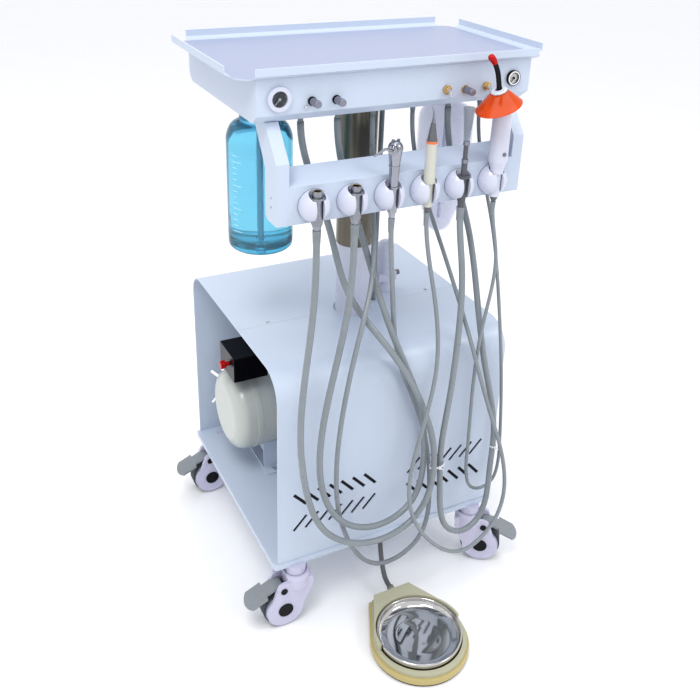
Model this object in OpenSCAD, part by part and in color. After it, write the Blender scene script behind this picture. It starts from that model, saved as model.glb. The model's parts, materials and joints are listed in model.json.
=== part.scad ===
// Portable dental unit: a control head with a tray, instrument bar and bottles on a column, over a
// sheet-metal cabinet on four braked casters, with a foot control. Millimetres, +Z up, +X to the
// right as seen from the front, -Y towards the dentist. Origin: middle of the footprint, on the floor.

/* [Base plate] */
// Width of the base plate
base_w = 448; // [430:1:470]
// Depth of the base plate
base_d = 431; // [410:1:450]
// Distance from the column axis to the front edge of the base plate
base_front = 177; // [165:1:190]
// Height of the base plate's lower edge above the floor
ride_h = 119.5; // [112:0.5:130]
// Height of the edge folded down round the base plate
base_lip = 10; // [8:0.5:16]
// Thickness of the steel sheet
sheet = 2; // [1.5:0.1:2.5]

/* [Casters] */
// Diameter of the caster wheels
wheel_d = 75; // [70:1:80]
// Width of the tyres
wheel_w = 28; // [24:1:30]
// Distance from a caster's swivel axis to its axle
caster_trail = 27; // [24:1:30]
// Distance from the base plate's side edge to a swivel axis
caster_side_inset = 42; // [36:1:60]
// Distance from the base plate's front edge to the front swivel axes
caster_front_inset = 8; // [6:1:20]
// Distance from the base plate's rear edge to the rear swivel axes
caster_rear_inset = 28; // [26:1:50]
// Outer width of a caster housing
housing_w = 42; // [40:1:46]
// Length of a brake pedal from the swivel axis
brake_reach = 95; // [88:1:98]

/* [Cabinet] */
// Width of the cabinet covers
cover_w = 434; // [420:1:444]
// Height of the covers above the base plate
cover_h = 370.5; // [340:0.5:400]
// Gap from the covers to the base plate's front and rear edges
cover_gap = 3; // [2:0.5:6]
// Outer bend radius of the front cover
front_bend = 50; // [30:1:70]
// Outer bend radius of the rear cover
rear_bend = 40; // [25:1:60]
// Diameter of the column hole in the cabinet top
column_hole_d = 68; // [66:1:76]
// Number of slots in each row of a vent
slot_count = 7; // [4:1:8]
// Distance between the slots of a vent
slot_pitch = 22; // [18:1:24]
// Height of the middle of the vents above the base plate
vent_h = 102; // [80:1:140]

/* [Column] */
// Inner diameter of the chrome sleeve
sleeve_bore_d = 60; // [56:0.5:62]
// Wall of the chrome sleeve
sleeve_wall = 2; // [1.5:0.1:2.5]
// Length of the chrome sleeve
sleeve_len = 262; // [240:1:300]
// Length of white post that shows between cabinet and sleeve
post_show = 130; // [110:1:160]
// Length of post inside the sleeve
post_overlap = 180; // [150:1:190]

/* [Control box] */
// Width of the control box
box_w = 460; // [440:1:480]
// Depth of the control box
box_d = 300; // [285:1:315]
// Height of the control box
box_h = 64; // [58:1:76]
// Distance from the column axis to the front panel
box_front = 135; // [128:1:142]
// Height of the bevel under the front panel
bevel_h = 13; // [8:0.5:16]
// Depth of the bevel under the front panel
bevel_d = 17; // [10:0.5:18]

/* [Tray] */
// Width of the tray over its rims
tray_w = 536; // [515:1:550]
// Depth of the tray over its rims
tray_d = 306; // [290:1:320]
// Height of the tray rims above the plate's underside
rim_h = 17; // [14:0.5:26]
// How far the rims stand out from the plate's edge
rim_flare = 11; // [6:0.5:14]
// Height at which the sloping foot of a rim turns upright
rim_knee = 6; // [4:0.5:9]
// Corner radius of the tray plate
tray_corner = 22; // [16:1:34]
// How far the tray stands in front of the panel
tray_overhang = 11; // [8:0.5:16]

/* [Instrument bar] */
// Width of the instrument bar over its arms
bar_w = 424; // [410:1:440]
// Width of each arm
arm_w = 20; // [16:1:24]
// Depth of the bar and its arms
bar_depth = 42; // [36:1:46]
// How far the bar stands in front of the panel
bar_ahead = 26; // [22:1:32]
// Distance from the box's underside to the bar's underside
bar_drop = 143; // [135:1:155]
// Height of the bar's front face
bar_h = 58; // [54:1:64]

/* [Holders] */
// Number of instrument holders
holder_count = 6; // [6:1:6]
// Distance between the holders
holder_pitch = 62; // [58:1:64]
// Radius of the ball-shaped holders
holder_r = 24.5; // [23:0.5:27]
// Diameter of a holder's cup
cup_d = 19; // [18:0.5:20]
// Distance from the bar's face to the cup's axis
cup_ahead = 14; // [13:0.5:16]

/* [Panel] */
// Distance of the pressure gauges from the sides of the control box
gauge_inset = 33; // [25:1:45]
// Diameter of the left gauge's bezel
gauge_d = 35; // [30:0.5:38]
// Diameter of the right gauge's bezel
small_gauge_d = 24; // [22:0.5:30]
// Diameter of the flow knobs
knob_d = 11; // [9:0.5:13]
// Length of the flow knobs
knob_len = 20; // [16:1:26]

/* [Bottles] */
// Distance of the bottle axes from the middle of the unit
bottle_x = 172; // [166:1:174]
// Diameter of the blue water bottle
water_d = 105; // [96:1:108]
// Height of the blue bottle under its cap
water_h = 228; // [200:1:240]
// Diameter of the clear bottle
clear_d = 96; // [90:1:104]
// Height of the clear bottle under its cap
clear_h = 252; // [230:1:262]
// Wall of the bottles
bottle_wall = 2; // [1.5:0.1:3]

/* [Foot control] */
// Radius of the round front of the foot control
foot_r = 85; // [82:1:90]
// Distance from the round front's middle to the flat rear end
foot_rear = 107; // [100:1:112]
// Width of the flat rear end
foot_rear_w = 84; // [70:1:90]
// Height of the foot control's rear hood
foot_h = 38; // [36:1:44]
// Radius of the pedal dish
dish_r = 74; // [70:0.5:75]

/* [Compressor] */
// Radius of the air tank
tank_r = 79; // [70:1:84]
// Length of the air tank's straight wall
tank_len = 215; // [190:1:230]
// Height of the tank axis above the base plate
tank_h = 127; // [122:1:145]

/* [Hoses] */
// Diameter of the handpiece and suction hoses
hose_d = 10.5; // [9:0.5:11]
// Diameter of the syringe hose
syringe_hose_d = 8; // [7:0.5:9]
// Diameter of the scaler cable
scaler_hose_d = 7; // [6:0.5:8]
// Diameter of the curing light cable
light_hose_d = 6; // [5:0.5:7]
// Diameter of the foot control hose
foot_hose_d = 9; // [8:0.5:10]

/* [Hidden] */
$fn = 64;

// Clearances
run = 0.05;       // a shaft turning or sliding in its bore
gap = 0.3;        // pieces that move past each other
cut = 1;          // how far a cutting solid runs past the face it cuts

// Heights and places shared by several pieces
column_y = 77;
base_top = ride_h + base_lip;
cover_top = base_top + cover_h;
sleeve_z = cover_top + post_show;
box_z = sleeve_z + sleeve_len;
box_top = box_z + box_h;
panel_y = column_y - box_front;
base_y = column_y - base_front;
base_rear = base_y + base_d;
front_y = base_y + cover_gap;
rear_y = base_rear - cover_gap;
wheel_r = wheel_d / 2;

// ---------------------------------------------------------------- helpers

// Extrudes an outline drawn as (Y, Z) along X, centred on x = 0
module along_x(length) {
    rotate([90, 0, 90]) linear_extrude(length, center = true) children();
}

// A solid cylinder along X from x0 to x1
module rod_x(x0, x1, r) {
    translate([x0, 0, 0]) rotate([0, 90, 0]) cylinder(h = x1 - x0, r = r);
}

// A solid cylinder along Y from y0 to y1
module rod_y(y0, y1, r) {
    translate([0, y1, 0]) rotate([90, 0, 0]) cylinder(h = y1 - y0, r = r);
}

// A ring standing on z = 0
module ring(outer, inner, h) {
    difference() {
        cylinder(h = h, r = outer);
        translate([0, 0, -cut]) cylinder(h = h + 2 * cut, r = inner);
    }
}

// A round bar from point p to point q
module strut(p, q, r1, r2) {
    v = q - p;
    translate(p) rotate([0, acos(v[2] / norm(v)), atan2(v[1], v[0])]) cylinder(h = norm(v), r1 = r1, r2 = r2);
}

// A flat rectangle with round corners, from exact squares and circles
module round_rect(w, d, r) {
    square([w - 2 * r, d], center = true);
    square([w, d - 2 * r], center = true);
    for (x = [-1, 1], y = [-1, 1])
        translate([x * (w / 2 - r), y * (d / 2 - r)]) circle(r);
}

function unit(v) = v / norm(v);

// The tube of a hose: one ring at each point of its route
function ring_at(p, t, r, side, sides) =
    let (a = unit(cross(t, side)), b = cross(t, a))
    [for (k = [0:sides - 1]) p + r * (cos(360 * k / sides) * a + sin(360 * k / sides) * b)];

module hose(route, first, last, d, side = [0, 1, 0], sides = 10) {
    n = len(route);
    points = [for (i = [0:n - 1]) each ring_at(route[i],
        i == 0 ? first : i == n - 1 ? last : unit(route[i + 1] - route[i - 1]), d / 2, side, sides)];
    walls = [for (i = [0:n - 2], k = [0:sides - 1])
        let (a = i * sides + k, b = i * sides + (k + 1) % sides)
        each [[a, b, b + sides], [a, b + sides, a + sides]]];
    start_cap = [for (k = [1:sides - 2]) [0, k + 1, k]];
    end_cap = [for (k = [1:sides - 2]) [0, k, k + 1] + (n - 1) * sides * [1, 1, 1]];
    polyhedron(points, concat(walls, start_cap, end_cap), convexity = 8);
}

// ---------------------------------------------------------------- base and cabinet

// Swivel axes: x, y and the angle at which each caster trails at rest
caster_x = base_w / 2 - caster_side_inset;
caster_front_y = base_y + caster_front_inset;
caster_rear_y = base_rear - caster_rear_inset;
CASTERS = [
    [-caster_x, caster_front_y, 180],
    [caster_x, caster_front_y, -37],
    [-caster_x, caster_rear_y, 180],
    [caster_x, caster_rear_y, 0]];
neck_r = 18;
neck_z = 94.5;
pin_r = 5;
stud_hole_r = 6;

foot_x = -18;
foot_gland = [0, -66];

module base_plate() {
    color("white") difference() {
        translate([0, base_y + base_d / 2, ride_h]) linear_extrude(base_lip) round_rect(base_w, base_d, 6);
        translate([0, base_y + base_d / 2, ride_h - cut]) linear_extrude(base_lip - sheet + cut)
            round_rect(base_w - 2 * sheet, base_d - 2 * sheet, 4);
        for (c = CASTERS) translate([c[0], c[1], ride_h]) cylinder(h = base_lip + cut, r = stud_hole_r);
        translate([foot_gland[0], foot_gland[1], ride_h]) cylinder(h = base_lip + cut, r = 8);
    }
}

module screw_z(head_r, length) {
    cylinder(h = 2, r = head_r);
    translate([0, 0, -length]) cylinder(h = length, r = head_r * 0.45 - gap);
}

cover_screw_x = 160;
cover_screw_y = 8;
screw_r = 3;

module base_fasteners() {
    color("gainsboro") for (c = CASTERS) translate([c[0], c[1], 0]) {
        translate([0, 0, neck_z]) cylinder(h = ride_h - neck_z, r = neck_r);
        translate([0, 0, neck_z - 14]) cylinder(h = 14, r = pin_r);
        translate([0, 0, ride_h]) cylinder(h = base_lip, r = stud_hole_r - gap);
    }
    color("silver") {
        for (x = [-cover_screw_x, cover_screw_x]) translate([x, column_y + cover_screw_y, cover_top])
            screw_z(screw_r, 8);
    }
    color("dimgray") translate([foot_gland[0], foot_gland[1], ride_h - 6]) {
        cylinder(h = base_lip + 10, r = 7.9);
        translate([0, 0, base_lip + 6]) cylinder(h = 4, r = 11);
    }
}

// Outline of a bent cover in (Y, Z): upright wall at y = 0, bend of radius r, flat top to y = depth
module bent_outline(depth, h, r) {
    translate([r, 0]) square([depth - r, h]);
    square([r, h - r]);
    translate([r, h - r]) circle(r);
}

module bent_sheet(depth, h, r) {
    along_x(cover_w) difference() {
        bent_outline(depth, h, r);
        translate([sheet, -cut]) bent_outline(depth - sheet + cut, h - sheet + cut, r - sheet);
    }
}

slot_len = 36;
slot_w = 5.5;
slot_rise = 25;
first_slot_x = 44;

// Two rows of slanted slots on each side of the middle, cut through a wall at y = 0
module vent_slots() {
    for (side = [-1, 1], row = [-1, 1], i = [0:slot_count - 1])
        translate([side * (first_slot_x + i * slot_pitch), 0, vent_h + row * slot_rise])
            rotate([0, -row * side * 48, 0]) cube([slot_len, 6 * sheet, slot_w], center = true);
}

seam_half = 0.2;

module screw_holes() {
    for (x = [-cover_screw_x, cover_screw_x])
        translate([x, column_y + cover_screw_y, cover_top - 3 * sheet])
            cylinder(h = 6 * sheet, r = screw_r * 0.45);
}

module front_cover() {
    color("white") difference() {
        translate([0, front_y, base_top]) bent_sheet(column_y - seam_half - front_y, cover_h, front_bend);
        translate([0, front_y, base_top]) vent_slots();
        translate([0, column_y, cover_top - 3 * sheet]) cylinder(h = 6 * sheet, r = column_hole_d / 2);
    }
}

supply_at = [50, 89];
supply_r = 4.5;

module rear_cover() {
    color("white") difference() {
        translate([0, rear_y, base_top]) mirror([0, 1, 0])
            bent_sheet(rear_y - column_y - seam_half, cover_h, rear_bend);
        translate([0, rear_y, base_top]) vent_slots();
        translate([0, column_y, cover_top - 3 * sheet]) cylinder(h = 6 * sheet, r = column_hole_d / 2);
        translate([supply_at[0], supply_at[1], cover_top - 3 * sheet])
            cylinder(h = 6 * sheet, r = supply_r + 2);
        translate([inlet_x, rear_y, inlet_z]) rotate([90, 0, 0]) cylinder(h = 6 * sheet, r = 15, center = true);
        screw_holes();
    }
}

post_r = sleeve_bore_d / 2 - run;
post_top = sleeve_z + post_overlap;

module column_post() {
    color("whitesmoke") translate([0, column_y, base_top]) {
        ring(post_r, post_r - 3, post_top - base_top);
        difference() {
            ring(50, post_r - 1, 8);
            for (a = [45:90:315]) rotate(a) translate([41, 0, -cut]) cylinder(h = 10, r = 3.2);
        }
    }
    color("silver") translate([0, column_y, base_top]) for (a = [45:90:315]) rotate(a)
        translate([41, 0, 8]) cylinder(h = 4, r = 5.5);
}

// ---------------------------------------------------------------- compressor

tank_x = -178;
tank_y = 200;
tank_z = base_top + tank_h;
dome_depth = 26;
tank_wall = 3;
outlet_x = tank_x + 34;
outlet_r = 8;

// Half of the tank's section, drawn in by a margin
module tank_outline(margin) {
    square([tank_r - margin, tank_len]);
    translate([0, margin - dome_depth]) square([tank_r - dome_depth, tank_len + 2 * (dome_depth - margin)]);
    for (z = [0, tank_len]) translate([tank_r - dome_depth, z]) intersection() {
        circle(dome_depth - margin);
        translate([margin - tank_r + dome_depth, -tank_r]) square(2 * tank_r);
    }
}

module compressor_tank() {
    difference() {
        union() {
            color("ivory") translate([tank_x, tank_y, tank_z]) rotate([0, 90, 0]) rotate_extrude() {
                tank_outline(0);
                translate([tank_r - 1, 14]) square([2.5, 10]);
            }
            color("brown") translate([outlet_x, tank_y, tank_z + tank_r - 4])
                cylinder(h = switch_rise + 4, r = outlet_r);
        }
        translate([tank_x, tank_y, tank_z]) rotate([0, 90, 0]) rotate_extrude() tank_outline(tank_wall);
        translate([outlet_x, tank_y, tank_z]) cylinder(h = 2 * tank_r, r = outlet_r / 2);
    }
}

cradle_t = 4;
cradle_w = 34;
CRADLES = [tank_x + 52, tank_x + tank_len - 46];

module compressor_cradle() {
    color("white") for (x = CRADLES) translate([x, tank_y, base_top]) difference() {
        union() {
            translate([-cradle_w / 2, -48, 0]) cube([cradle_w, 96, tank_h]);
            translate([-cradle_w / 2, -68, 0]) cube([cradle_w, 136, cradle_t]);
        }
        translate([0, 0, tank_h]) rod_x(-cradle_w, cradle_w, tank_r + gap);
        translate([-cradle_w, -44, cradle_t]) cube([2 * cradle_w, 88, tank_h - tank_r - 2 * cradle_t]);
    }
    color("silver") for (x = CRADLES, y = [-58, 58])
        translate([x, tank_y + y, base_top + cradle_t]) cylinder(h = 3, r = 4.5);
}

motor_x = 140;
motor_y = 200;
motor_r = 46;
motor_h = 70;
motor_len = 124;
motor_foot = [10, 104];
pump_x = 44;
pump_r = 24;
pump_top = 80;
fin_r = 29;
head_w = 60;
head_t = 14;

// Twin-cylinder pump: a lying motor on two feet, with a finned cylinder and a head over each end
module compressor_motor() {
    translate([motor_x, motor_y, base_top]) for (x = [-pump_x, pump_x]) {
        color("silver") {
            translate([0, 0, motor_h]) rod_x(-motor_len / 2, motor_len / 2, motor_r);
            translate([x - motor_foot[0] / 2, -motor_foot[1] / 2, 0])
                cube([motor_foot[0], motor_foot[1], motor_h - 20]);
            translate([x, 0, motor_h]) cylinder(h = pump_top, r = pump_r);
        }
        color("gray") {
            translate([x - head_w / 2, -head_w / 2, motor_h + pump_top]) cube([head_w, head_w, head_t]);
            for (z = [0:4]) translate([x, 0, motor_h + pump_top - 42 + z * 8]) cylinder(h = 3, r = fin_r);
        }
    }
    color("gold") translate([motor_x - pump_x, motor_y, base_top + motor_h + pump_top + head_t])
        cylinder(h = 16, r = 7);
}

switch_rise = 17;
switch_size = [66, 75, 50];
switch_at = [tank_x - 25, tank_y - 58, tank_z + tank_r + switch_rise];
switch_knob_y = 31;
switch_knob_z = 25;

module pressure_switch() {
    color([0.08, 0.08, 0.09]) difference() {
        translate(switch_at) cube(switch_size);
        translate([switch_at[0] + 10, switch_at[1] + switch_knob_y, switch_at[2] + switch_knob_z])
            rod_x(-11, 0, 4 + run);
    }
}

module switch_knob() {
    color("red") translate([switch_at[0], switch_at[1] + switch_knob_y, switch_at[2] + switch_knob_z]) {
        rod_x(-16, -6, 8);
        rod_x(-6, 1.5, 4);
    }
}

filter_x = 88;
filter_y = 118;

module filter_regulator() {
    translate([filter_x, filter_y, cover_top]) {
        color("whitesmoke") {
            cylinder(h = 22, r = 14);
            translate([-18, -14, 22]) cube([36, 28, 16]);
            translate([0, 0, 38]) cylinder(h = 46, r = 17);
            translate([0, 0, 84]) sphere(r = 17);
        }
        color("gray") translate([0, 0, 30]) rod_x(-30, 30, 5);
    }
}

inlet_x = -120;
inlet_z = base_top + 36;
inlet_out = 7;

module power_inlet() {
    color("dimgray") translate([inlet_x, 0, inlet_z]) {
        translate([0, rear_y, 0]) rod_y(0, inlet_out, 18);
        translate([0, rear_y - 20, 0]) rod_y(0, 20, 15 - gap);
    }
}

// ---------------------------------------------------------------- casters

shell_r = wheel_r - 3.5;
axle_r = 4;
brake_pin = [30, 81];
brake_pin_r = 2.5;
brake_w = 27;
paddle_w = 42;
wheel_gap = 2;

// The housing's side outline in (X, Z), from the swivel boss down round the wheel
module housing_outline() {
    translate([caster_trail, wheel_r]) circle(shell_r);
    polygon([[-25, 96], [-25, 78], [caster_trail - shell_r, wheel_r], [caster_trail, wheel_r],
        [caster_trail + shell_r, wheel_r], [44, 78], [38, 92], [30, 96]]);
}

module caster_housing(c) {
    translate([c[0], c[1], 0]) rotate(c[2]) {
        color("white") difference() {
            union() {
                rotate([90, 0, 0]) linear_extrude(housing_w, center = true) housing_outline();
                translate([0, 0, 78]) cylinder(h = 18, r = 26);
                translate([0, 0, 96]) cylinder(h = 8, r1 = 26, r2 = 22.5);
            }
            translate([caster_trail, 0, wheel_r])
                rod_y(-wheel_w / 2 - wheel_gap, wheel_w / 2 + wheel_gap, wheel_r + 1.5);
            translate([brake_pin[0] - 9, -brake_w / 2 - gap - 0.5, 70]) cube([60, brake_w + 2 * gap + 1, 40]);
            translate([caster_trail, -wheel_w / 2 - wheel_gap, 0]) cube([60, wheel_w + 2 * wheel_gap, 74]);
            translate([0, 0, neck_z - gap]) cylinder(h = 20, r = neck_r + 1);
            translate([0, 0, 60]) cylinder(h = 60, r = pin_r + run);
            translate([caster_trail, 0, wheel_r]) rod_y(-housing_w, housing_w, axle_r);
            translate([brake_pin[0], 0, brake_pin[1]]) rod_y(-housing_w, housing_w, brake_pin_r);
        }
        color([0.08, 0.08, 0.09]) {
            translate([caster_trail, 0, wheel_r]) {
                rod_y(-housing_w / 2, housing_w / 2, axle_r);
                for (s = [-1, 1]) translate([0, s * (housing_w / 2 + 0.75), 0]) rod_y(-0.75, 0.75, 13.5);
            }
            translate([brake_pin[0], 0, brake_pin[1]]) {
                rod_y(-housing_w / 2, housing_w / 2, brake_pin_r);
                for (s = [-1, 1]) translate([0, s * (housing_w / 2 + 0.75), 0]) rod_y(-0.75, 0.75, 6);
            }
        }
    }
}

module caster_wheel(c) {
    translate([c[0], c[1], 0]) rotate(c[2]) translate([caster_trail, 0, wheel_r]) {
        color([0.15, 0.16, 0.18]) rotate([90, 0, 0]) rotate_extrude() difference() {
            translate([24, -wheel_w / 2]) square([wheel_r - 24, wheel_w]);
            for (s = [-1, 1]) translate([wheel_r, s * wheel_w / 2]) rotate(45) square(4, center = true);
        }
        color("lightsteelblue") difference() {
            rod_y(-wheel_w / 2 + 1, wheel_w / 2 - 1, 24);
            rod_y(-wheel_w, wheel_w, axle_r + run);
        }
    }
}

module brake_pedal(c) {
    translate([c[0], c[1], 0]) rotate(c[2]) color("gray") difference() {
        union() {
            translate([brake_pin[0], 0, brake_pin[1]]) rod_y(-brake_w / 2, brake_w / 2, 4.2);
            rotate([90, 0, 0]) linear_extrude(brake_w, center = true)
                polygon([[brake_pin[0], 85], [46, 84.5], [66, 75], [66, 70.5], [46, 79.5],
                    [brake_pin[0] + 2, 79.5]]);
            intersection() {
                rotate([90, 0, 0]) linear_extrude(paddle_w, center = true)
                    polygon([[60, 78], [68, 74], [brake_reach, 62], [brake_reach, 57.5], [60, 73]]);
                translate([brake_reach - 30, 0, 50]) cylinder(h = 40, r = 30);
            }
        }
        translate([brake_pin[0], 0, brake_pin[1]]) rod_y(-brake_w, brake_w, brake_pin_r + run);
    }
}

// ---------------------------------------------------------------- foot control

foot_y = -250;
sole_h = 4;
skirt_h = 16;
well_z = 10;
dish_y = foot_y + 3;
guide_r = 6;

// Outline of the foot control, seen from above, drawn in by a margin
module foot_outline(margin) {
    translate([0, foot_y]) circle(foot_r - margin);
    polygon([[-(foot_r - margin) * cos(20), foot_y + (foot_r - margin) * sin(20)],
        [-(foot_rear_w / 2 - margin), foot_y + foot_rear - margin],
        [foot_rear_w / 2 - margin, foot_y + foot_rear - margin],
        [(foot_r - margin) * cos(20), foot_y + (foot_r - margin) * sin(20)],
        [0, foot_y]]);
}

module foot_housing() {
    translate([foot_x, 0, 0]) {
        color([0.25, 0.24, 0.2]) difference() {
            linear_extrude(sole_h) foot_outline(1.5);
            translate([0, dish_y, -cut]) cylinder(h = sole_h + 2 * cut, r = guide_r + 1);
        }
        color("khaki") difference() {
            union() {
                translate([0, 0, sole_h]) linear_extrude(skirt_h - sole_h) foot_outline(0);
                translate([0, 0, skirt_h]) linear_extrude(8) foot_outline(4);
                intersection() {
                    translate([0, 0, skirt_h]) linear_extrude(foot_h - skirt_h) foot_outline(6);
                    translate([-foot_r, foot_y, skirt_h]) cube([2 * foot_r, foot_rear, foot_h]);
                }
            }
            translate([0, dish_y, well_z]) cylinder(h = foot_h, r = dish_r + 1);
            translate([0, dish_y, 0]) cylinder(h = foot_h, r = guide_r + run);
        }
        color("dimgray") translate([foot_hose_end[0] - foot_x, 0, foot_hose_end[2]])
            translate([0, foot_y + foot_rear, 0]) rod_y(-12, 8, 6.5);
    }
}

dish_z = 34;

module foot_pedal() {
    color("silver") translate([foot_x, dish_y, 0]) {
        rotate_extrude() {
            translate([0, 17]) square([60, 4]);
            polygon([[55, 17], [dish_r, 22], [dish_r, dish_z - 1.5], [dish_r - 1.5, dish_z],
                [dish_r - 4, dish_z], [dish_r - 9, 26], [55, 21]]);
        }
        translate([0, 0, 6.5]) cylinder(h = 11, r = guide_r);
    }
}

// ---------------------------------------------------------------- head

set_screw_a = -45;

module column_sleeve() {
    color("silver") translate([0, column_y, sleeve_z]) {
        difference() {
            union() {
                ring(sleeve_bore_d / 2 + sleeve_wall, sleeve_bore_d / 2, sleeve_len);
                translate([0, 0, sleeve_len - 8]) ring(45, sleeve_bore_d / 2 + 1, 8);
            }
            translate([0, 0, 14]) rotate(set_screw_a) translate([30, 0, 0]) rotate([0, 90, 0])
                cylinder(h = 20, r = 3, center = true);
        }
    }
    color([0.1, 0.1, 0.1]) translate([0, column_y, sleeve_z + 14]) rotate(set_screw_a)
        translate([sleeve_bore_d / 2 + gap, 0, 0]) rotate([0, 90, 0]) cylinder(h = 4, r = 3);
}

tray_y = panel_y - tray_overhang + tray_d / 2;
plate_w = tray_w - 2 * rim_flare;
plate_d = tray_d - 2 * rim_flare;

// A rim's section, u outwards from the plate's edge and v up from its underside: a slope, then a lip
module rim_outline() {
    polygon([[-6, 0], [0, 0], [rim_flare, rim_knee], [rim_flare, rim_h], [rim_flare - sheet, rim_h],
        [rim_flare - sheet, rim_knee + 1], [-1, sheet], [-6, sheet]]);
}

module tray() {
    color("white") translate([0, tray_y, box_top]) {
        linear_extrude(sheet) round_rect(plate_w, plate_d, tray_corner);
        for (s = [-1, 1]) {
            translate([0, s * plate_d / 2, 0]) rotate([90, 0, s > 0 ? 90 : -90])
                linear_extrude(plate_w - 2 * tray_corner, center = true) rim_outline();
            translate([s * plate_w / 2, 0, 0]) rotate([90, 0, s > 0 ? 0 : 180])
                linear_extrude(plate_d - 2 * tray_corner, center = true) rim_outline();
        }
    }
}

box_rear_bend = 20;

module box_outline() {
    difference() {
        square([box_d, box_h]);
        polygon([[-cut, -cut], [bevel_d, -cut], [bevel_d, 0], [0, bevel_h], [-cut, bevel_h]]);
        translate([box_d - box_rear_bend, -cut]) square([box_rear_bend + cut, box_rear_bend + cut]);
    }
    translate([box_d - box_rear_bend, box_rear_bend]) circle(box_rear_bend);
}

module box_hollow() {
    difference() {
        translate([sheet, sheet]) square([box_d - 2 * sheet, box_h - 2 * sheet]);
        polygon([[0, 0], [bevel_d + sheet, 0], [bevel_d + sheet, sheet], [sheet, bevel_h + sheet],
            [0, bevel_h + sheet]]);
        translate([box_d - box_rear_bend, 0]) square([box_rear_bend, box_rear_bend]);
    }
    translate([box_d - box_rear_bend, box_rear_bend]) circle(box_rear_bend - sheet);
}

// Places on the front panel: [x, height above the box's underside]
gauge_x = box_w / 2 - gauge_inset;
bezel_w = 6;
small_bezel_w = 3;
panel_z = 28;
KNOBS = [[-147, panel_z + 1], [-109, panel_z], [109, panel_z - 3]];
PORTS = [[76, panel_z - 1], [148, panel_z - 1]];
knob_shaft_r = 2;
HOSE_EXITS = [-145, -85, -25, 45, 110, 170];
hose_exit_y = -15;
spigot_r = 4;
spigot_drop = 12;
manifold_end = 15;
manifold_w = 24;
manifold_h = 26;
manifold_foot = 2;

module control_box() {
    color("white") difference() {
        translate([0, panel_y, box_z]) along_x(box_w) box_outline();
        translate([0, panel_y, box_z]) along_x(box_w - 2 * sheet) box_hollow();
        for (k = KNOBS) translate([k[0], panel_y, box_z + k[1]]) rod_y(-cut, 3 * sheet, knob_shaft_r + run);
        for (p = PORTS) translate([p[0], panel_y, box_z + p[1]]) rod_y(-cut, 3 * sheet, 4);
        for (x = HOSE_EXITS) translate([x, hose_exit_y, box_z - cut]) cylinder(h = 3 * sheet, r = spigot_r + 1.5);
        translate([supply_at[0], supply_at[1], box_z - cut]) cylinder(h = 3 * sheet, r = supply_r);
    }
}

// Manifold inside the box, with a spigot through the floor for each hose
module valve_block() {
    color("silver") {
        translate([HOSE_EXITS[0] - manifold_end, hose_exit_y - manifold_w / 2, box_z + sheet + manifold_foot])
            cube([HOSE_EXITS[5] - HOSE_EXITS[0] + 2 * manifold_end, manifold_w, manifold_h]);
        for (x = HOSE_EXITS) translate([x, hose_exit_y, box_z - spigot_drop]) {
            cylinder(h = spigot_drop + sheet + manifold_foot, r = spigot_r);
            translate([0, 0, spigot_drop - 5]) cylinder(h = 5, r = spigot_r + 4);
        }
        for (x = [HOSE_EXITS[0] - manifold_end, HOSE_EXITS[5] + manifold_end - 10])
            translate([x, hose_exit_y - manifold_w / 2, box_z + sheet]) cube([8, manifold_w, manifold_foot]);
    }
}

bar_z = box_z - bar_drop;
bar_y = panel_y - bar_ahead;
bar_top_rise = 16.5;
bar_heel = 7;
arm_shift = 44;
arm_root = 46;

// Section of the bar in (Y, Z), from its lower front edge: upright face and sloping top
module bar_outline(wall) {
    polygon([[wall, wall], [wall, bar_h - wall * 0.5], [bar_depth - wall, bar_h + bar_top_rise - wall * 1.4],
        [bar_depth - wall, bar_heel + wall * 0.4], [bar_depth - bar_heel - wall * 0.4, wall]]);
}

// Side of an arm: rises with the bar's depth, then leans back to the box's underside
module arm_outline() {
    polygon([[0, 0], [0, 93], [arm_root - 6, bar_drop], [arm_root + 40, bar_drop], [bar_depth, 78],
        [bar_depth, bar_heel], [bar_depth - bar_heel, 0]]);
}

module instrument_bar() {
    color("white") translate([0, bar_y, bar_z]) difference() {
        union() {
            along_x(bar_w) bar_outline(0);
            for (s = [-1, 1]) translate([s * (bar_w - arm_w) / 2, 0, 0]) along_x(arm_w) arm_outline();
        }
        along_x(bar_w - 2 * arm_w) bar_outline(sheet);
        for (z = [24, 38]) translate([0, 20, z]) rod_x(-bar_w / 2 - cut, -bar_w / 2 + 6, 2);
    }
}

ball_ahead = 4;
ball_rise = 27.5;
seat_rise = 41;
seat_z = bar_z + seat_rise;
cup_y = bar_y - cup_ahead;
seat_r = 12.5;
cup_slot_w = 12;
function holder_x(i) = (i - (holder_count - 1) / 2) * holder_pitch;

module instrument_holders() {
    color("white") for (i = [0:holder_count - 1]) translate([holder_x(i), 0, 0]) difference() {
        translate([0, bar_y - ball_ahead, bar_z + ball_rise]) sphere(r = holder_r);
        translate([-50, bar_y, bar_z - 50]) cube([100, 100, 150]);
        translate([0, cup_y, bar_z - 20]) cylinder(h = 100, r = cup_d / 2);
        translate([0, cup_y, seat_z]) cylinder(h = 30, r = seat_r);
        translate([-cup_slot_w / 2, cup_y - 40, bar_z - 20]) cube([cup_slot_w, 40, 100]);
    }
}

collar_len = 3;

module gauge_body(d, depth, bezel) {
    difference() {
        rod_y(-depth, 0, d / 2);
        rod_y(-depth - cut, -depth + 3, d / 2 - bezel);
    }
    rod_y(-depth + 1.1, -depth + 3.5, 1.2);
}

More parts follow.
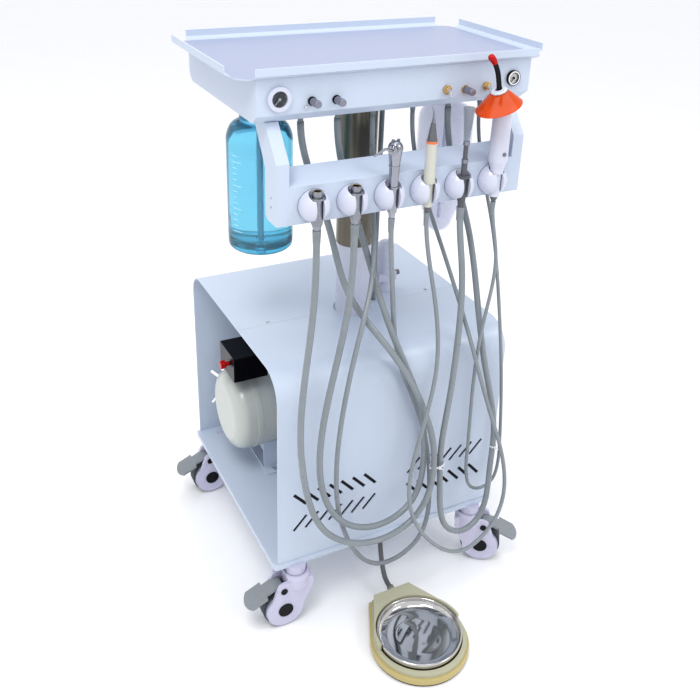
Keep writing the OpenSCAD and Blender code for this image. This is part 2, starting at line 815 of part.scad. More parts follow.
module panel_fittings() {
    translate([0, panel_y, box_z]) {
        color("gainsboro") translate([-gauge_x, 0, panel_z + 8]) gauge_body(gauge_d, 5, bezel_w);
        color("dimgray") translate([gauge_x, 0, panel_z + 8]) gauge_body(small_gauge_d, 5, small_bezel_w);
        color([0.1, 0.1, 0.1]) for (k = KNOBS) translate([k[0], 0, k[1]]) difference() {
            rod_y(-collar_len, 0, knob_d / 2 + 1);
            rod_y(-2 * collar_len, cut, knob_shaft_r + run);
        }
        color("goldenrod") for (p = PORTS) translate([p[0], 0, p[1]]) {
            rod_y(-4, 0, 7);
            rod_y(-8, -4, 5);
            rod_y(0, 8, 3.9);
        }
        color("silver") translate([KNOBS[0][0] - 9, 0, panel_z - 7]) rod_y(-2, 0, 3);
    }
}

module gauge_needle(x, length) {
    color("black") translate([x, panel_y - 5, box_z + panel_z + 8]) {
        difference() {
            rod_y(0.4, 2.4, 2);
            rod_y(1, 3, 1.2 + run);
        }
        rotate([0, -135, 0]) translate([-0.5, 0.4, 0]) cube([1, 0.5, length]);
    }
}

module flow_knob(k) {
    color("gray") translate([k[0], panel_y - collar_len - gap, box_z + k[1]]) {
        rod_y(-knob_len, 0, knob_d / 2);
        rod_y(-knob_len / 2, collar_len + 12, knob_shaft_r);
    }
}

// ---------------------------------------------------------------- bottles

bottle_y = 80;
water_cap_h = 14;
clear_cap_h = 16;
water_neck_r = 31;
clear_neck_r = 20;
tube_r = 3;

// Outline of half a bottle below z = 0, its neck's top: body radius, neck radius, height, base radius
module bottle_outline(r, neck, h, foot, cone, inset) {
    square([neck - inset, 1]);
    polygon([[0, 0], [neck - inset, 0], [neck - inset, -14], [r * 0.82 - inset, -24], [r - inset, -44],
        [r - inset, -h + cone + 12], [r - 3 - inset, -h + cone + 5], [foot - inset, -h + 5 + inset],
        [foot - 5, -h + inset], [0, -h + inset]]);
}

module bottle(r, neck, h, foot, cone) {
    rotate_extrude() difference() {
        intersection() {
            bottle_outline(r, neck, h, foot, cone, 0);
            translate([0, -2 * h]) square([2 * r, 2 * h]);
        }
        bottle_outline(r, neck, h, foot, cone, bottle_wall);
    }
}

module bottle_caps() {
    color([0.35, 0.65, 0.85]) translate([-bottle_x, bottle_y, box_z - water_cap_h])
        cylinder(h = water_cap_h, r = water_neck_r + 3);
    color("whitesmoke") translate([bottle_x, bottle_y, box_z - clear_cap_h])
        cylinder(h = clear_cap_h, r = clear_neck_r + 4);
    color("white") {
        translate([-bottle_x, bottle_y, box_z - water_cap_h - water_h + 22])
            cylinder(h = water_h - 22, r = tube_r);
        translate([bottle_x, bottle_y, box_z - clear_cap_h - clear_h + 22])
            cylinder(h = clear_h - 22, r = tube_r);
    }
}

module water_bottle() {
    color([0.3, 0.7, 0.9, 0.5]) translate([-bottle_x, bottle_y, box_z - water_cap_h - gap])
        bottle(water_d / 2, water_neck_r, water_h, water_d / 2 - 3, 0);
}

module clear_bottle() {
    color([0.85, 0.88, 0.95, 0.5]) translate([bottle_x, bottle_y, box_z - clear_cap_h - gap])
        bottle(clear_d / 2, clear_neck_r, clear_h, 20, 70);
}

// A straight hose from the box into the cabinet, guided by a hole in the cabinet's top
supply_len = box_z - cover_top + 120;

module supply_hose() {
    color("gray") translate([supply_at[0], supply_at[1], box_z - supply_len])
        cylinder(h = supply_len, r = supply_r);
}

// ---------------------------------------------------------------- instruments
// Each is drawn about its cup's axis, with z = 0 on the cup's seat.

cup_fit = 1;
stem_r = cup_d / 2 - cup_fit;
stem_len = 38;
boot_len = 10;
seat_gap = 0.2;

module at_cup(i) {
    translate([holder_x(i), cup_y, seat_z]) children();
}

// The part of an instrument that stands in the cup, ending at its hose
module stem(hose_width, flange, r = stem_r) {
    translate([0, 0, -stem_len]) cylinder(h = stem_len + seat_gap, r = r);
    translate([0, 0, -stem_len - boot_len]) cylinder(h = boot_len, r1 = hose_width / 2, r2 = r - 1);
    translate([0, 0, seat_gap]) cylinder(h = 3, r = flange);
}

module connector(i) {
    at_cup(i) {
        color("silver") difference() {
            union() {
                stem(hose_d, seat_r - 1);
                cylinder(h = 12, r = 7.5);
            }
            translate([0, 0, 6]) cylinder(h = 10, r = 5);
        }
        color("gold") for (a = [0:90:270]) rotate(a) translate([2.4, 0, 5.5]) cylinder(h = 4.5, r = 0.8);
    }
}

syringe_head_z = 61;
head_r = 11.5;
button_r = 2.4;
button_x = 4.5;
nozzle_r = 2;
NOZZLE = [[-9, -8, syringe_head_z], [-15, -12, syringe_head_z + 2], [-25, -15, syringe_head_z + 6],
    [-44, -17, syringe_head_z - 2]];

module syringe() {
    at_cup(2) color("silver") {
        difference() {
            union() {
                stem(syringe_hose_d, 8.5, 7);
                cylinder(h = 36, r1 = 7, r2 = 8);
                translate([0, 0, 36]) cylinder(h = syringe_head_z - 36, r1 = 8, r2 = 10.8);
                translate([0, 0, 34]) cylinder(h = 1.5, r = 8.6);
                translate([0, 0, syringe_head_z]) sphere(r = head_r);
                translate([0, 0, syringe_head_z]) rotate(42) rod_x(-13, 0, 7.3);
            }
            for (s = [-1, 1]) translate([s * button_x, 0, syringe_head_z + 5])
                cylinder(h = head_r, r = button_r + run);
        }
        for (i = [0:2]) strut(NOZZLE[i], NOZZLE[i + 1], nozzle_r, i == 2 ? nozzle_r - 0.4 : nozzle_r);
        for (i = [1:2]) translate(NOZZLE[i]) sphere(r = nozzle_r + 0.05);
    }
}

module spray_button(s) {
    at_cup(2) color("dimgray") translate([s * button_x, 0, syringe_head_z + 8]) cylinder(h = 5.5, r = button_r);
}

module scaler() {
    at_cup(3) {
        color("beige") {
            stem(scaler_hose_d, 9.5, 6.5);
            cylinder(h = 62, r1 = 9, r2 = 8.2);
        }
        color("orange") translate([0, 0, 62]) cylinder(h = 4, r = 8.5);
        color("gray") translate([0, 0, 66]) cylinder(h = 26, r1 = 7.8, r2 = 3.6);
        color("silver") {
            translate([0, 0, 92]) cylinder(h = 6, r = 2.6);
            translate([0, 0, 98]) cylinder(h = 10, r1 = 1.4, r2 = 0.9);
            strut([0, 0, 107.5], [-4, 0, 116], 0.9, 0.5);
        }
    }
}

module suction_handle() {
    at_cup(4) {
        color("dimgray") {
            stem(hose_d, 10, 6.5);
            cylinder(h = 24, r = 4.6);
        }
        color("silver") {
            translate([0, 0, 24]) cylinder(h = 6, r = 5.2);
            translate([0, 0, 52]) cylinder(h = 6, r = 5);
        }
        color("dimgray") translate([0, 0, 30]) cylinder(h = 22, r = 3.6);
        color("lightsteelblue") difference() {
            translate([0, 0, 58]) cylinder(h = 52, r1 = 4.5, r2 = 9);
            translate([0, 0, 62]) cylinder(h = 50, r1 = 2.7, r2 = 7.6);
        }
    }
}

light_r = 15.5;
light_top = 88;
light_button_z = 34;
COLLAR = [-12, 0, 132];
GUIDE = [COLLAR, [-23, 0, 174], [-36, 0, 188]];
guide_w = 3.8;
light_neck_r = 6;
collar_tilt = -20;

module curing_light() {
    at_cup(5) {
        color("white") difference() {
            union() {
                stem(light_hose_d, 10.5);
                rotate_extrude() polygon([[0, 0.2], [11, 0.2], [11, 9], [light_r, 22],
                    [light_r - 1, light_top], [0, light_top]]);
                translate([0, 0, light_top]) sphere(r = light_r - 1);
                strut([0, 0, light_top], COLLAR + [2.5, 0, -7], light_r - 1.5, light_neck_r + 2);
            }
            translate([0, 0, light_button_z]) rod_y(-2 * light_r, -light_r + 6, 3 + run);
        }
        color([0.1, 0.1, 0.1]) {
            strut(COLLAR + [2.5, 0, -8], COLLAR, light_neck_r, light_neck_r - 1);
            strut(GUIDE[0], GUIDE[1], guide_w, guide_w);
            translate(GUIDE[1]) sphere(r = guide_w + 0.2);
        }
        color("red") strut(GUIDE[1], GUIDE[2], guide_w, guide_w + 0.6);
    }
}

shield_r = 36;
shield_drop = 15;
shield_shift = [-13, -12];
shield_t = 2;

// A cone with its rim set off to one side, from the rim up to the collar
module lop_cone(r, top) {
    hull() {
        translate([shield_shift[0], shield_shift[1], -shield_drop]) cylinder(h = 0.5, r = r);
        cylinder(h = 0.5, r = top);
    }
}

module eye_shield() {
    at_cup(5) color([0.95, 0.35, 0.05]) translate(COLLAR + [1.2, 0, -3.5]) rotate([0, collar_tilt, 0]) {
        difference() {
            lop_cone(shield_r, 13);
            translate([0, 0, -shield_t]) lop_cone(shield_r - shield_t, 12);
            translate([0, 0, -2 * shield_t]) cylinder(h = 4 * shield_t, r = light_neck_r + gap);
        }
    }
}

module curing_button() {
    at_cup(5) color("gray") translate([0, 0, light_button_z]) rod_y(-light_r - 1.5, -light_r + 4, 3);
}

// ---------------------------------------------------------------- hoses
// Route points in millimetres, from the spigot under the box, down and round the hanging loop, and up
// to the instrument's boot.

HOSE_1 = [[-145, -15, 880], [-105, -36, 715], [-85, -75, 610], [-45, -126, 540],
    [25, -142, 410], [50, -150, 295], [20, -163, 215], [-65, -168, 185], [-155, -166, 230],
    [-195, -160, 330], [-200, -148, 420], [-165, -115, 640], [-155, -98, 742]];
HOSE_2 = [[-85, -15, 880], [-45, -36, 685], [-35, -98, 585], [-5, -126, 490],
    [30, -122, 405], [40, -132, 295], [15, -144, 225], [-50, -150, 200], [-115, -150, 225],
    [-160, -146, 310], [-160, -138, 400], [-105, -112, 625], [-93, -98, 742]];
HOSE_3 = [[-25, -15, 880], [-25, -34, 705], [-50, -80, 635], [-95, -128, 560],
    [-120, -134, 445], [-130, -136, 310], [-110, -138, 190], [-30, -138, 95], [35, -140, 125],
    [65, -122, 210], [45, -106, 360], [-10, -103, 510], [-22, -98, 620], [-31, -98, 742]];
HOSE_4 = [[45, -15, 880], [95, -34, 675], [120, -122, 510], [155, -152, 375],
    [190, -168, 250], [175, -176, 145], [115, -180, 105], [35, -180, 155], [-15, -178, 285],
    [10, -166, 390], [45, -140, 480], [45, -112, 615], [31, -98, 742]];
HOSE_5 = [[110, -15, 880], [160, -34, 665], [145, -98, 565], [160, -122, 440],
    [184, -134, 310], [181, -139, 235], [177, -143, 173], [161, -148, 137.5], [127, -151, 121], [93, -150, 137.5],
    [76, -149, 173], [69, -147, 235], [66, -144, 310], [80, -135, 410],
    [95, -122, 515], [100, -108, 635], [93, -98, 742]];
HOSE_6 = [[170, -15, 880], [210, -34, 660], [185, -104, 560], [205, -112, 400], [215, -117, 265],
    [214, -119, 214], [204, -121, 189], [180, -122, 179], [156, -121, 189], [146, -119, 214],
    [143, -117, 275], [137, -121, 410],
    [145, -122, 545], [170, -102, 640], [155, -98, 742]];
FOOT_HOSE = [[0, -66, 113.5], [0, -68, 98], [-4, -80, 68], [-9, -100, 42], [-12, -118, 30], [-12, -135, 26]];
foot_hose_end = [-12, -135, 26];

DOWN = [0, 0, -1];
UP = [0, 0, 1];

module instrument_hose(route, d, sides = 10) {
    color("lightslategray") hose(route, DOWN, UP, d, sides = sides);
}

module foot_hose() {
    color("dimgray") hose(FOOT_HOSE, DOWN, [0, -1, 0], foot_hose_d, side = [1, 0, 0]);
}

base_plate();
base_fasteners();
front_cover();
rear_cover();
column_post();
compressor_tank();
compressor_motor();
compressor_cradle();
pressure_switch();
switch_knob();
filter_regulator();
power_inlet();
foot_hose();
foot_housing();
foot_pedal();
caster_housing(CASTERS[0]);  // caster_housing_fl
caster_housing(CASTERS[1]);  // caster_housing_fr
caster_housing(CASTERS[2]);  // caster_housing_bl
caster_housing(CASTERS[3]);  // caster_housing_br
caster_wheel(CASTERS[0]);  // caster_wheel_fl
caster_wheel(CASTERS[1]);  // caster_wheel_fr
caster_wheel(CASTERS[2]);  // caster_wheel_bl
caster_wheel(CASTERS[3]);  // caster_wheel_br
brake_pedal(CASTERS[0]);  // brake_pedal_fl
brake_pedal(CASTERS[1]);  // brake_pedal_fr
brake_pedal(CASTERS[2]);  // brake_pedal_bl
brake_pedal(CASTERS[3]);  // brake_pedal_br
column_sleeve();
tray();
control_box();
valve_block();
instrument_bar();
instrument_holders();
panel_fittings();
gauge_needle(-gauge_x, gauge_d / 2 - bezel_w - 1);  // gauge_needle_left
gauge_needle(gauge_x, small_gauge_d / 2 - small_bezel_w - 1);  // gauge_needle_right
flow_knob(KNOBS[0]);  // flow_knob_1
flow_knob(KNOBS[1]);  // flow_knob_2
flow_knob(KNOBS[2]);  // flow_knob_3
bottle_caps();
water_bottle();
clear_bottle();
supply_hose();
connector(0);  // connector_1
connector(1);  // connector_2
syringe();
spray_button(-1);  // air_button
spray_button(1);  // water_button
scaler();
suction_handle();
curing_light();
eye_shield();
curing_button();
instrument_hose(HOSE_1, hose_d);  // hose_1
instrument_hose(HOSE_2, hose_d);  // hose_2
instrument_hose(HOSE_3, syringe_hose_d);  // hose_3
instrument_hose(HOSE_4, scaler_hose_d);  // hose_4
instrument_hose(HOSE_5, hose_d);  // hose_5
instrument_hose(HOSE_6, light_hose_d);  // hose_6
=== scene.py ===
"""Looks of the portable dental unit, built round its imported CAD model. Lengths are in mm until MM."""

import json
import math

import bmesh
import bpy
from mathutils import Matrix, Vector

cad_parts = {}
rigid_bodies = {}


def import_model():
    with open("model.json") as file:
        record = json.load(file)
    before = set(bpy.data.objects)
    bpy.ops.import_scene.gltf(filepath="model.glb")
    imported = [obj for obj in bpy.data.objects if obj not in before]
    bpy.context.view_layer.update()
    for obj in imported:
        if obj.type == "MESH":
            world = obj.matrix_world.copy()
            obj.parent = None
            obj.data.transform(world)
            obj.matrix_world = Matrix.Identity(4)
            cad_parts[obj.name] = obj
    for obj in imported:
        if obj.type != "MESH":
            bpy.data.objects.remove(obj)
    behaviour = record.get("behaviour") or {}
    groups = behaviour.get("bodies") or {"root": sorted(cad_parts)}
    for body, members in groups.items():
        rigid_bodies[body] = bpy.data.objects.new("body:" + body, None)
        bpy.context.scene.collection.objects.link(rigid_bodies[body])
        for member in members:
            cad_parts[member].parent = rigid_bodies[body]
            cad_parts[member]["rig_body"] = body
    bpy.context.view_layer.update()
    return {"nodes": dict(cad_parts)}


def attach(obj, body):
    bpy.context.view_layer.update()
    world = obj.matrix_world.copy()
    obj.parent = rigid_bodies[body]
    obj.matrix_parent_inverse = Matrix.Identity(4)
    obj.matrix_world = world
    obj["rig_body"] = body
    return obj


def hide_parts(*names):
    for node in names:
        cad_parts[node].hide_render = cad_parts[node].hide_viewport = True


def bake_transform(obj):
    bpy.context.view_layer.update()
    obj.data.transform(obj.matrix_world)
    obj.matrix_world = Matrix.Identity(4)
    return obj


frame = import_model()
NODES = frame["nodes"]
MM = 0.001
TAU = math.tau


def placed(name, data):
    """A new object in the scene for a mesh, a light or a camera."""
    thing = bpy.data.objects.new(name, data)
    bpy.context.scene.collection.objects.link(thing)
    return thing


# ---------------------------------------------------------------- camera, at the photograph's view

YAW, PITCH, ROLL = math.radians(27.79), math.radians(25.1), math.radians(2.03)
EYE = Vector((-0.650, -1.144, 1.2285))
look = Vector((math.sin(YAW) * math.cos(PITCH), math.cos(YAW) * math.cos(PITCH), -math.sin(PITCH)))
right = Vector((math.cos(YAW), -math.sin(YAW), 0))
up = right.cross(look)
cam_right = math.cos(ROLL) * right + math.sin(ROLL) * up
cam_up = -math.sin(ROLL) * right + math.cos(ROLL) * up
camera = placed("camera", bpy.data.cameras.new("camera"))
camera.data.sensor_width = 36
camera.data.lens = 44.65
camera.data.shift_y = -0.12
camera.data.clip_start, camera.data.clip_end = 0.05, 30
camera.matrix_world = Matrix((*zip(cam_right, cam_up, -look, EYE), (0, 0, 0, 1)))
bpy.context.scene.camera = camera

# ---------------------------------------------------------------- materials

BROAD_SCALE = 7.0            # the wide noise that colour and roughness share
COLOR_ENDS = 0.3, 0.7        # noise values at which the colour reaches its darkest and lightest
ROUGH_ENDS = 0.15, 0.85      # and the roughness its least and most
# Painted shade in creases: CREASE is the pointiness range over which it fades, CREASE_SHADE how dark it gets
CREASE = 0.42, 0.5           # pointiness from a deep crease to a flat face
CREASE_SHADE = 0.45
BUMP_DEPTH = 0.0004


def material(name, color, rough, metal=0.0, spread=0.03, grain=220, rough_spread=0.06, bump=0.0,
             bump_scale=900, stretch=(1, 1, 1), painted_shade=0.0, **sockets):
    """A noise-varied surface: color wanders by spread at two scales, roughness by rough_spread, and
    bump gives grain. painted_shade darkens the creases a little, as painted shade where less light
    reaches. sockets go to the shader as they are."""
    made = bpy.data.materials.new(name)
    made.use_nodes = True
    tree = made.node_tree
    shader = tree.nodes["Principled BSDF"]
    link = tree.links.new

    def node(kind, **values):
        n = tree.nodes.new(kind)
        for key, value in values.items():
            n.inputs[key.replace("_", " ")].default_value = value
        return n

    def shade(factor):
        return [max(0, min(1, c * factor)) for c in color] + [1]

    where = node("ShaderNodeTexCoord")
    place = node("ShaderNodeMapping", Scale=stretch)
    link(where.outputs["Object"], place.inputs["Vector"])
    fine = node("ShaderNodeTexNoise", Scale=grain, Detail=5.0, Roughness=0.6)
    broad = node("ShaderNodeTexNoise", Scale=BROAD_SCALE, Detail=2.0)
    both = node("ShaderNodeMath")
    both.operation = "ADD"
    for noise, socket in zip((fine, broad), both.inputs):
        link(place.outputs["Vector"], noise.inputs["Vector"])
        link(noise.outputs["Fac"], socket)
    half = node("ShaderNodeMath")
    half.operation = "MULTIPLY"
    half.inputs[1].default_value = 0.5
    link(both.outputs[0], half.inputs[0])
    ramp = node("ShaderNodeValToRGB")
    ramp.color_ramp.interpolation = "EASE"
    for element, position, sign in zip(ramp.color_ramp.elements, COLOR_ENDS, (-1, 1)):
        element.position = position
        element.color = shade(1 + sign * spread)
    link(half.outputs[0], ramp.inputs["Fac"])
    result = ramp.outputs["Color"]
    # Painted shade: faces in deep creases, found by pointiness, are drawn darker
    if painted_shade:
        geometry = node("ShaderNodeNewGeometry")
        edge = node("ShaderNodeMapRange", From_Min=CREASE[0], From_Max=CREASE[1], To_Min=painted_shade, To_Max=0)
        link(geometry.outputs["Pointiness"], edge.inputs["Value"])
        mix = node("ShaderNodeMix")
        mix.data_type = "RGBA"
        link(edge.outputs["Result"], mix.inputs["Factor"])
        link(result, mix.inputs["A"])
        mix.inputs["B"].default_value = shade(CREASE_SHADE)
        result = mix.outputs["Result"]
    link(result, shader.inputs["Base Color"])
    gloss = node("ShaderNodeMapRange", From_Min=ROUGH_ENDS[0], From_Max=ROUGH_ENDS[1],
                 To_Min=max(0.02, rough - rough_spread), To_Max=min(1, rough + rough_spread))
    gloss.interpolation_type = "SMOOTHSTEP"
    link(broad.outputs["Fac"], gloss.inputs["Value"])
    link(gloss.outputs["Result"], shader.inputs["Roughness"])
    shader.inputs["Metallic"].default_value = metal
    if bump:
        grainy = node("ShaderNodeTexNoise", Scale=bump_scale, Detail=3.0)
        link(place.outputs["Vector"], grainy.inputs["Vector"])
        bumped = node("ShaderNodeBump", Strength=bump, Distance=BUMP_DEPTH)
        link(grainy.outputs["Fac"], bumped.inputs["Height"])
        link(bumped.outputs["Normal"], shader.inputs["Normal"])
    for key, value in sockets.items():
        shader.inputs[key.replace("_", " ")].default_value = value
    return made


WHITE = material("powder_white", (0.53, 0.595, 0.705), rough=0.32, spread=0.02, grain=260,
                 rough_spread=0.04, bump=0.06, bump_scale=1500, painted_shade=0.35)
# The white paint drawn darker and bluer, as painted shade on the tray's up-facing floor
TRAY_FLOOR = material("tray_floor", (0.30, 0.335, 0.465), rough=0.34, spread=0.03, grain=300,
                      rough_spread=0.03, bump=0.08, bump_scale=1600)
POST_WHITE = material("post_white", (0.6, 0.62, 0.72), rough=0.22, spread=0.02, rough_spread=0.03, bump=0.05,
                      bump_scale=900)
GLOSS_WHITE = material("moulded_white", (0.585, 0.605, 0.71), rough=0.16, spread=0.015, rough_spread=0.03,
                       bump=0.03, bump_scale=500, painted_shade=0.5, Coat_Weight=0.2)
CASTER_WHITE = material("caster_white", (0.545, 0.535, 0.675), rough=0.21, spread=0.025, rough_spread=0.04,
                        bump=0.04, bump_scale=700, painted_shade=0.5)
CREAM = material("tank_cream", (0.50, 0.53, 0.50), rough=0.22, spread=0.03, rough_spread=0.04, bump=0.05,
                 bump_scale=500)
CAST = material("cast_aluminium", (0.52, 0.53, 0.55), rough=0.5, metal=0.9, spread=0.12, bump=0.5,
                bump_scale=800)
ZINC = material("zinc", (0.62, 0.63, 0.66), rough=0.32, metal=1, spread=0.08, bump=0.08, bump_scale=900)
STEEL = material("turned_steel", (0.29, 0.30, 0.33), rough=0.17, metal=1, spread=0.15, grain=400,
                 stretch=(1, 1, 24), bump=0.1, bump_scale=160)
CHROME = material("chrome", (0.36, 0.37, 0.41), rough=0.05, metal=1, spread=0.06, rough_spread=0.03)
DISH = material("pedal_steel", (0.60, 0.59, 0.58), rough=0.05, metal=1, spread=0.06, grain=40,
                rough_spread=0.03)
KNOB_GREY = material("knob_grey", (0.25, 0.25, 0.30), rough=0.3, metal=0.4, spread=0.08, bump=0.06)
# Its strong upright colour streaks stand in for the room's reflections in the sleeve's chrome: painted
# reflection
SLEEVE = material("sleeve_steel", (0.17, 0.155, 0.125), rough=0.26, metal=0.6, spread=0.5, grain=55,
                  stretch=(1, 1, 0.01), rough_spread=0.04, bump=0.05, bump_scale=120)
BRASS = material("brass", (0.66, 0.5, 0.27), rough=0.25, metal=1, spread=0.08, bump=0.06)
BLACK = material("black_plastic", (0.005, 0.005, 0.007), rough=0.24, spread=0.3, bump=0.1, bump_scale=1400,
                 Specular_IOR_Level=0.22)
GUIDE_BLACK = material("light_guide", (0.006, 0.006, 0.01), rough=0.08, spread=0.3, Specular_IOR_Level=0.25)
RED = material("red_plastic", (0.44, 0.003, 0.003), rough=0.12, spread=0.06, bump=0.03,
               Specular_IOR_Level=0.35)
GREY = material("grey_plastic", (0.16, 0.165, 0.185), rough=0.4, spread=0.08, bump=0.2, bump_scale=1200)
PEDAL_GREY = material("pedal_grey", (0.24, 0.26, 0.28), rough=0.4, spread=0.07, bump=0.25, bump_scale=1100)
HOSE = material("hose_silicone", (0.235, 0.26, 0.28), rough=0.25, spread=0.06, grain=60, bump=0.08,
                bump_scale=1600)
DARK_HOSE = material("dark_hose", (0.12, 0.12, 0.13), rough=0.4, spread=0.1, bump=0.15)
TYRE = material("tyre", (0.035, 0.042, 0.055), rough=0.55, spread=0.2, bump=0.4, bump_scale=700)
HUB = material("wheel_core", (0.42, 0.5, 0.62), rough=0.4, spread=0.05, bump=0.06)
BEIGE = material("foot_beige", (0.46, 0.45, 0.33), rough=0.36, spread=0.05, rough_spread=0.04, bump=0.12,
                 bump_scale=900, painted_shade=0.35)
SKIRT = material("foot_skirt", (0.52, 0.43, 0.19), rough=0.42, spread=0.06, bump=0.15, bump_scale=800)
SOLE = material("sole_rubber", (0.05, 0.045, 0.035), rough=0.7, spread=0.15, bump=0.5, bump_scale=600)
SCALER = material("scaler_beige", (0.56, 0.56, 0.5), rough=0.3, spread=0.03, bump=0.06, bump_scale=900)
ORANGE_RING = material("orange_ring", (0.75, 0.2, 0.08), rough=0.3, spread=0.05, bump=0.04)
CONE_GREY = material("cone_grey", (0.17, 0.175, 0.19), rough=0.28, metal=0.5, spread=0.08, bump=0.06)
SLEEVE_GREY = material("suction_sleeve", (0.1, 0.105, 0.12), rough=0.42, spread=0.1, bump=0.15)
TIP_GREY = material("suction_tip", (0.3, 0.33, 0.38), rough=0.2, spread=0.05, bump=0.05, Alpha=0.55)
NYLON = material("nylon_tie", (0.8, 0.8, 0.82), rough=0.4, spread=0.03, bump=0.1, Transmission_Weight=0.15)
DIAL = material("dial_white", (0.84, 0.85, 0.86), rough=0.5, spread=0.02, bump=0.02)
DIAL_DARK = material("dial_dark", (0.045, 0.05, 0.062), rough=0.3, spread=0.25, bump=0.03)
GLASS = material("gauge_glass", (0.08, 0.085, 0.09), rough=0.05, spread=0.01, rough_spread=0.02, Alpha=0.08)
BLUE_BOTTLE = material("blue_bottle", (0.47, 0.83, 0.955), rough=0.08, spread=0.04, rough_spread=0.04,
                       bump=0.05, bump_scale=90, Transmission_Weight=0.93, IOR=1.3)
BLUE_CAP = material("blue_cap", (0.02, 0.3, 0.66), rough=0.26, spread=0.06, bump=0.05,
                    Transmission_Weight=0.2)
WATER = material("water", (0.42, 0.84, 0.97), rough=0.03, spread=0.05, rough_spread=0.02, bump=0.02,
                 bump_scale=60, Transmission_Weight=0.95, IOR=1.33)
CLEAR_BOTTLE = material("clear_bottle", (0.62, 0.65, 0.82), rough=0.06, spread=0.05, rough_spread=0.03,
                        bump=0.05, bump_scale=80, Alpha=0.3)
PALE_MARK = material("dial_pale_mark", (0.30, 0.32, 0.34), rough=0.45, spread=0.05, bump=0.02)
# A near-black sheet put behind the vents as painted shade
SHADE_SHEET = material("painted_shade_sheet", (0.012, 0.013, 0.016), rough=0.95, spread=0.4, grain=500, bump=0.9,
                bump_scale=700)
NOZZLE = material("clear_nozzle", (0.75, 0.8, 0.88), rough=0.15, spread=0.03, bump=0.04,
                  Transmission_Weight=0.6, IOR=1.35)
MARKS = material("graduations", (0.75, 0.93, 1.0), rough=0.4, spread=0.02, bump=0.02)
SHIELD = material("filter_orange", (0.70, 0.085, 0.001), rough=0.14, spread=0.16, grain=24, rough_spread=0.05,
                  Transmission_Weight=0.3, IOR=1.4)
COLLAR_GREY = material("collar_grey", (0.6, 0.62, 0.68), rough=0.3, spread=0.03, bump=0.04)

# ---------------------------------------------------------------- mesh helpers


def finished(bm, name):
    """The mesh of a bmesh, which is freed."""
    mesh = bpy.data.meshes.new(name)
    bm.to_mesh(mesh)
    bm.free()
    return mesh


def skin(bm, loops):
    """Four-sided faces between each loop of vertices and the next."""
    for low, high in zip(loops, loops[1:]):
        for k in range(len(low)):
            m = (k + 1) % len(low)
            bm.faces.new((low[k], low[m], high[m], high[k]))


def add(name, mesh, body, replaced=(), smooth=35):
    """Links a mesh as a piece that rides on a body, shaded smooth up to an angle in degrees."""
    piece = placed(name, mesh)
    mesh.shade_smooth()
    mesh.set_sharp_from_angle(angle=math.radians(smooth))
    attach(piece, body)
    if replaced:
        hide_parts(*replaced)
    return piece


def dress(node, main, *others, bevel=0.5, segments=2, drop=None):
    """A copy of a CAD node with its flat faces joined and its edges rounded, in place of the node.
    others are (material, test) pairs: test takes a face's middle (x, y, z) in mm and its normal.
    Faces for which drop holds are left out, for a piece that is built apart."""
    bm = bmesh.new()
    bm.from_mesh(NODES[node].data)
    bmesh.ops.remove_doubles(bm, verts=bm.verts, dist=2e-5)
    bmesh.ops.dissolve_limit(bm, angle_limit=math.radians(0.5), verts=bm.verts, edges=bm.edges,
                             use_dissolve_boundaries=False)
    if drop:
        dropped = [f for f in bm.faces if drop(f.calc_center_median() / MM)]
        bmesh.ops.delete(bm, geom=dropped, context="FACES")
    mesh = finished(bm, "dressed_" + node)
    mesh.materials.clear()
    for m in (main, *[o[0] for o in others]):
        mesh.materials.append(m)
    for face in mesh.polygons:
        face.material_index = 0
        for i, (_, test) in enumerate(others, 1):
            if test(face.center / MM, face.normal):
                face.material_index = i
    piece = add("dressed_" + node, mesh, NODES[node]["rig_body"], [node])
    if bevel:
        rounding = piece.modifiers.new("edges", "BEVEL")
        rounding.width = bevel * MM
        rounding.segments = segments
        rounding.limit_method = "ANGLE"
        rounding.angle_limit = math.radians(32)
        piece.modifiers.new("normals", "WEIGHTED_NORMAL").keep_sharp = True


def turned(axis_at, profile, steps=64, toward=(0, 0, 1), flutes=0, flute_depth=0.0, flute_span=None):
    """A mesh turned about an axis through axis_at: profile is (radius, height) pairs in mm, open or
    closed on the axis. flutes cuts lengthwise grooves on the stretch of heights flute_span."""
    bm = bmesh.new()
    spin = Vector((0, 0, 1)).rotation_difference(Vector(toward)).to_matrix()
    base = Vector(axis_at)
    rings = []
    for r, h in profile:
        if r < 1e-6:
            rings.append([bm.verts.new((base + spin @ Vector((0, 0, h))) * MM)])
            continue
        fluted = flutes and flute_span[0] <= h <= flute_span[1]
        ring = []
        for i in range(steps):
            a = TAU * i / steps
            cut = flute_depth * max(0.0, math.cos(a * flutes)) if fluted else 0.0
            spot = Vector(((r - cut) * math.cos(a), (r - cut) * math.sin(a), h))
            ring.append(bm.verts.new((base + spin @ spot) * MM))
        rings.append(ring)
    for low, high in zip(rings, rings[1:]):
        if len(low) == len(high) == 1:
            continue
        for i in range(steps):
            j = (i + 1) % steps
            corners = [low[i % len(low)], low[j % len(low)], high[j % len(high)], high[i % len(high)]]
            bm.faces.new(list(dict.fromkeys(corners)))
    bmesh.ops.recalc_face_normals(bm, faces=bm.faces)
    return finished(bm, "turned")


def rounded(points, radius, steps):
    """A profile with its inner corners rounded, for turned()."""
    out = [Vector(points[0])]
    for a, b, c in zip(points, points[1:], points[2:]):
        a, b, c = Vector(a), Vector(b), Vector(c)
        reach = min(radius, (a - b).length * 0.45, (c - b).length * 0.45)
        start, end = b + (a - b).normalized() * reach, b + (c - b).normalized() * reach
        for k in range(steps + 1):
            t = k / steps
            out.append((1 - t) ** 2 * start + 2 * t * (1 - t) * b + t * t * end)
    return out + [Vector(points[-1])]


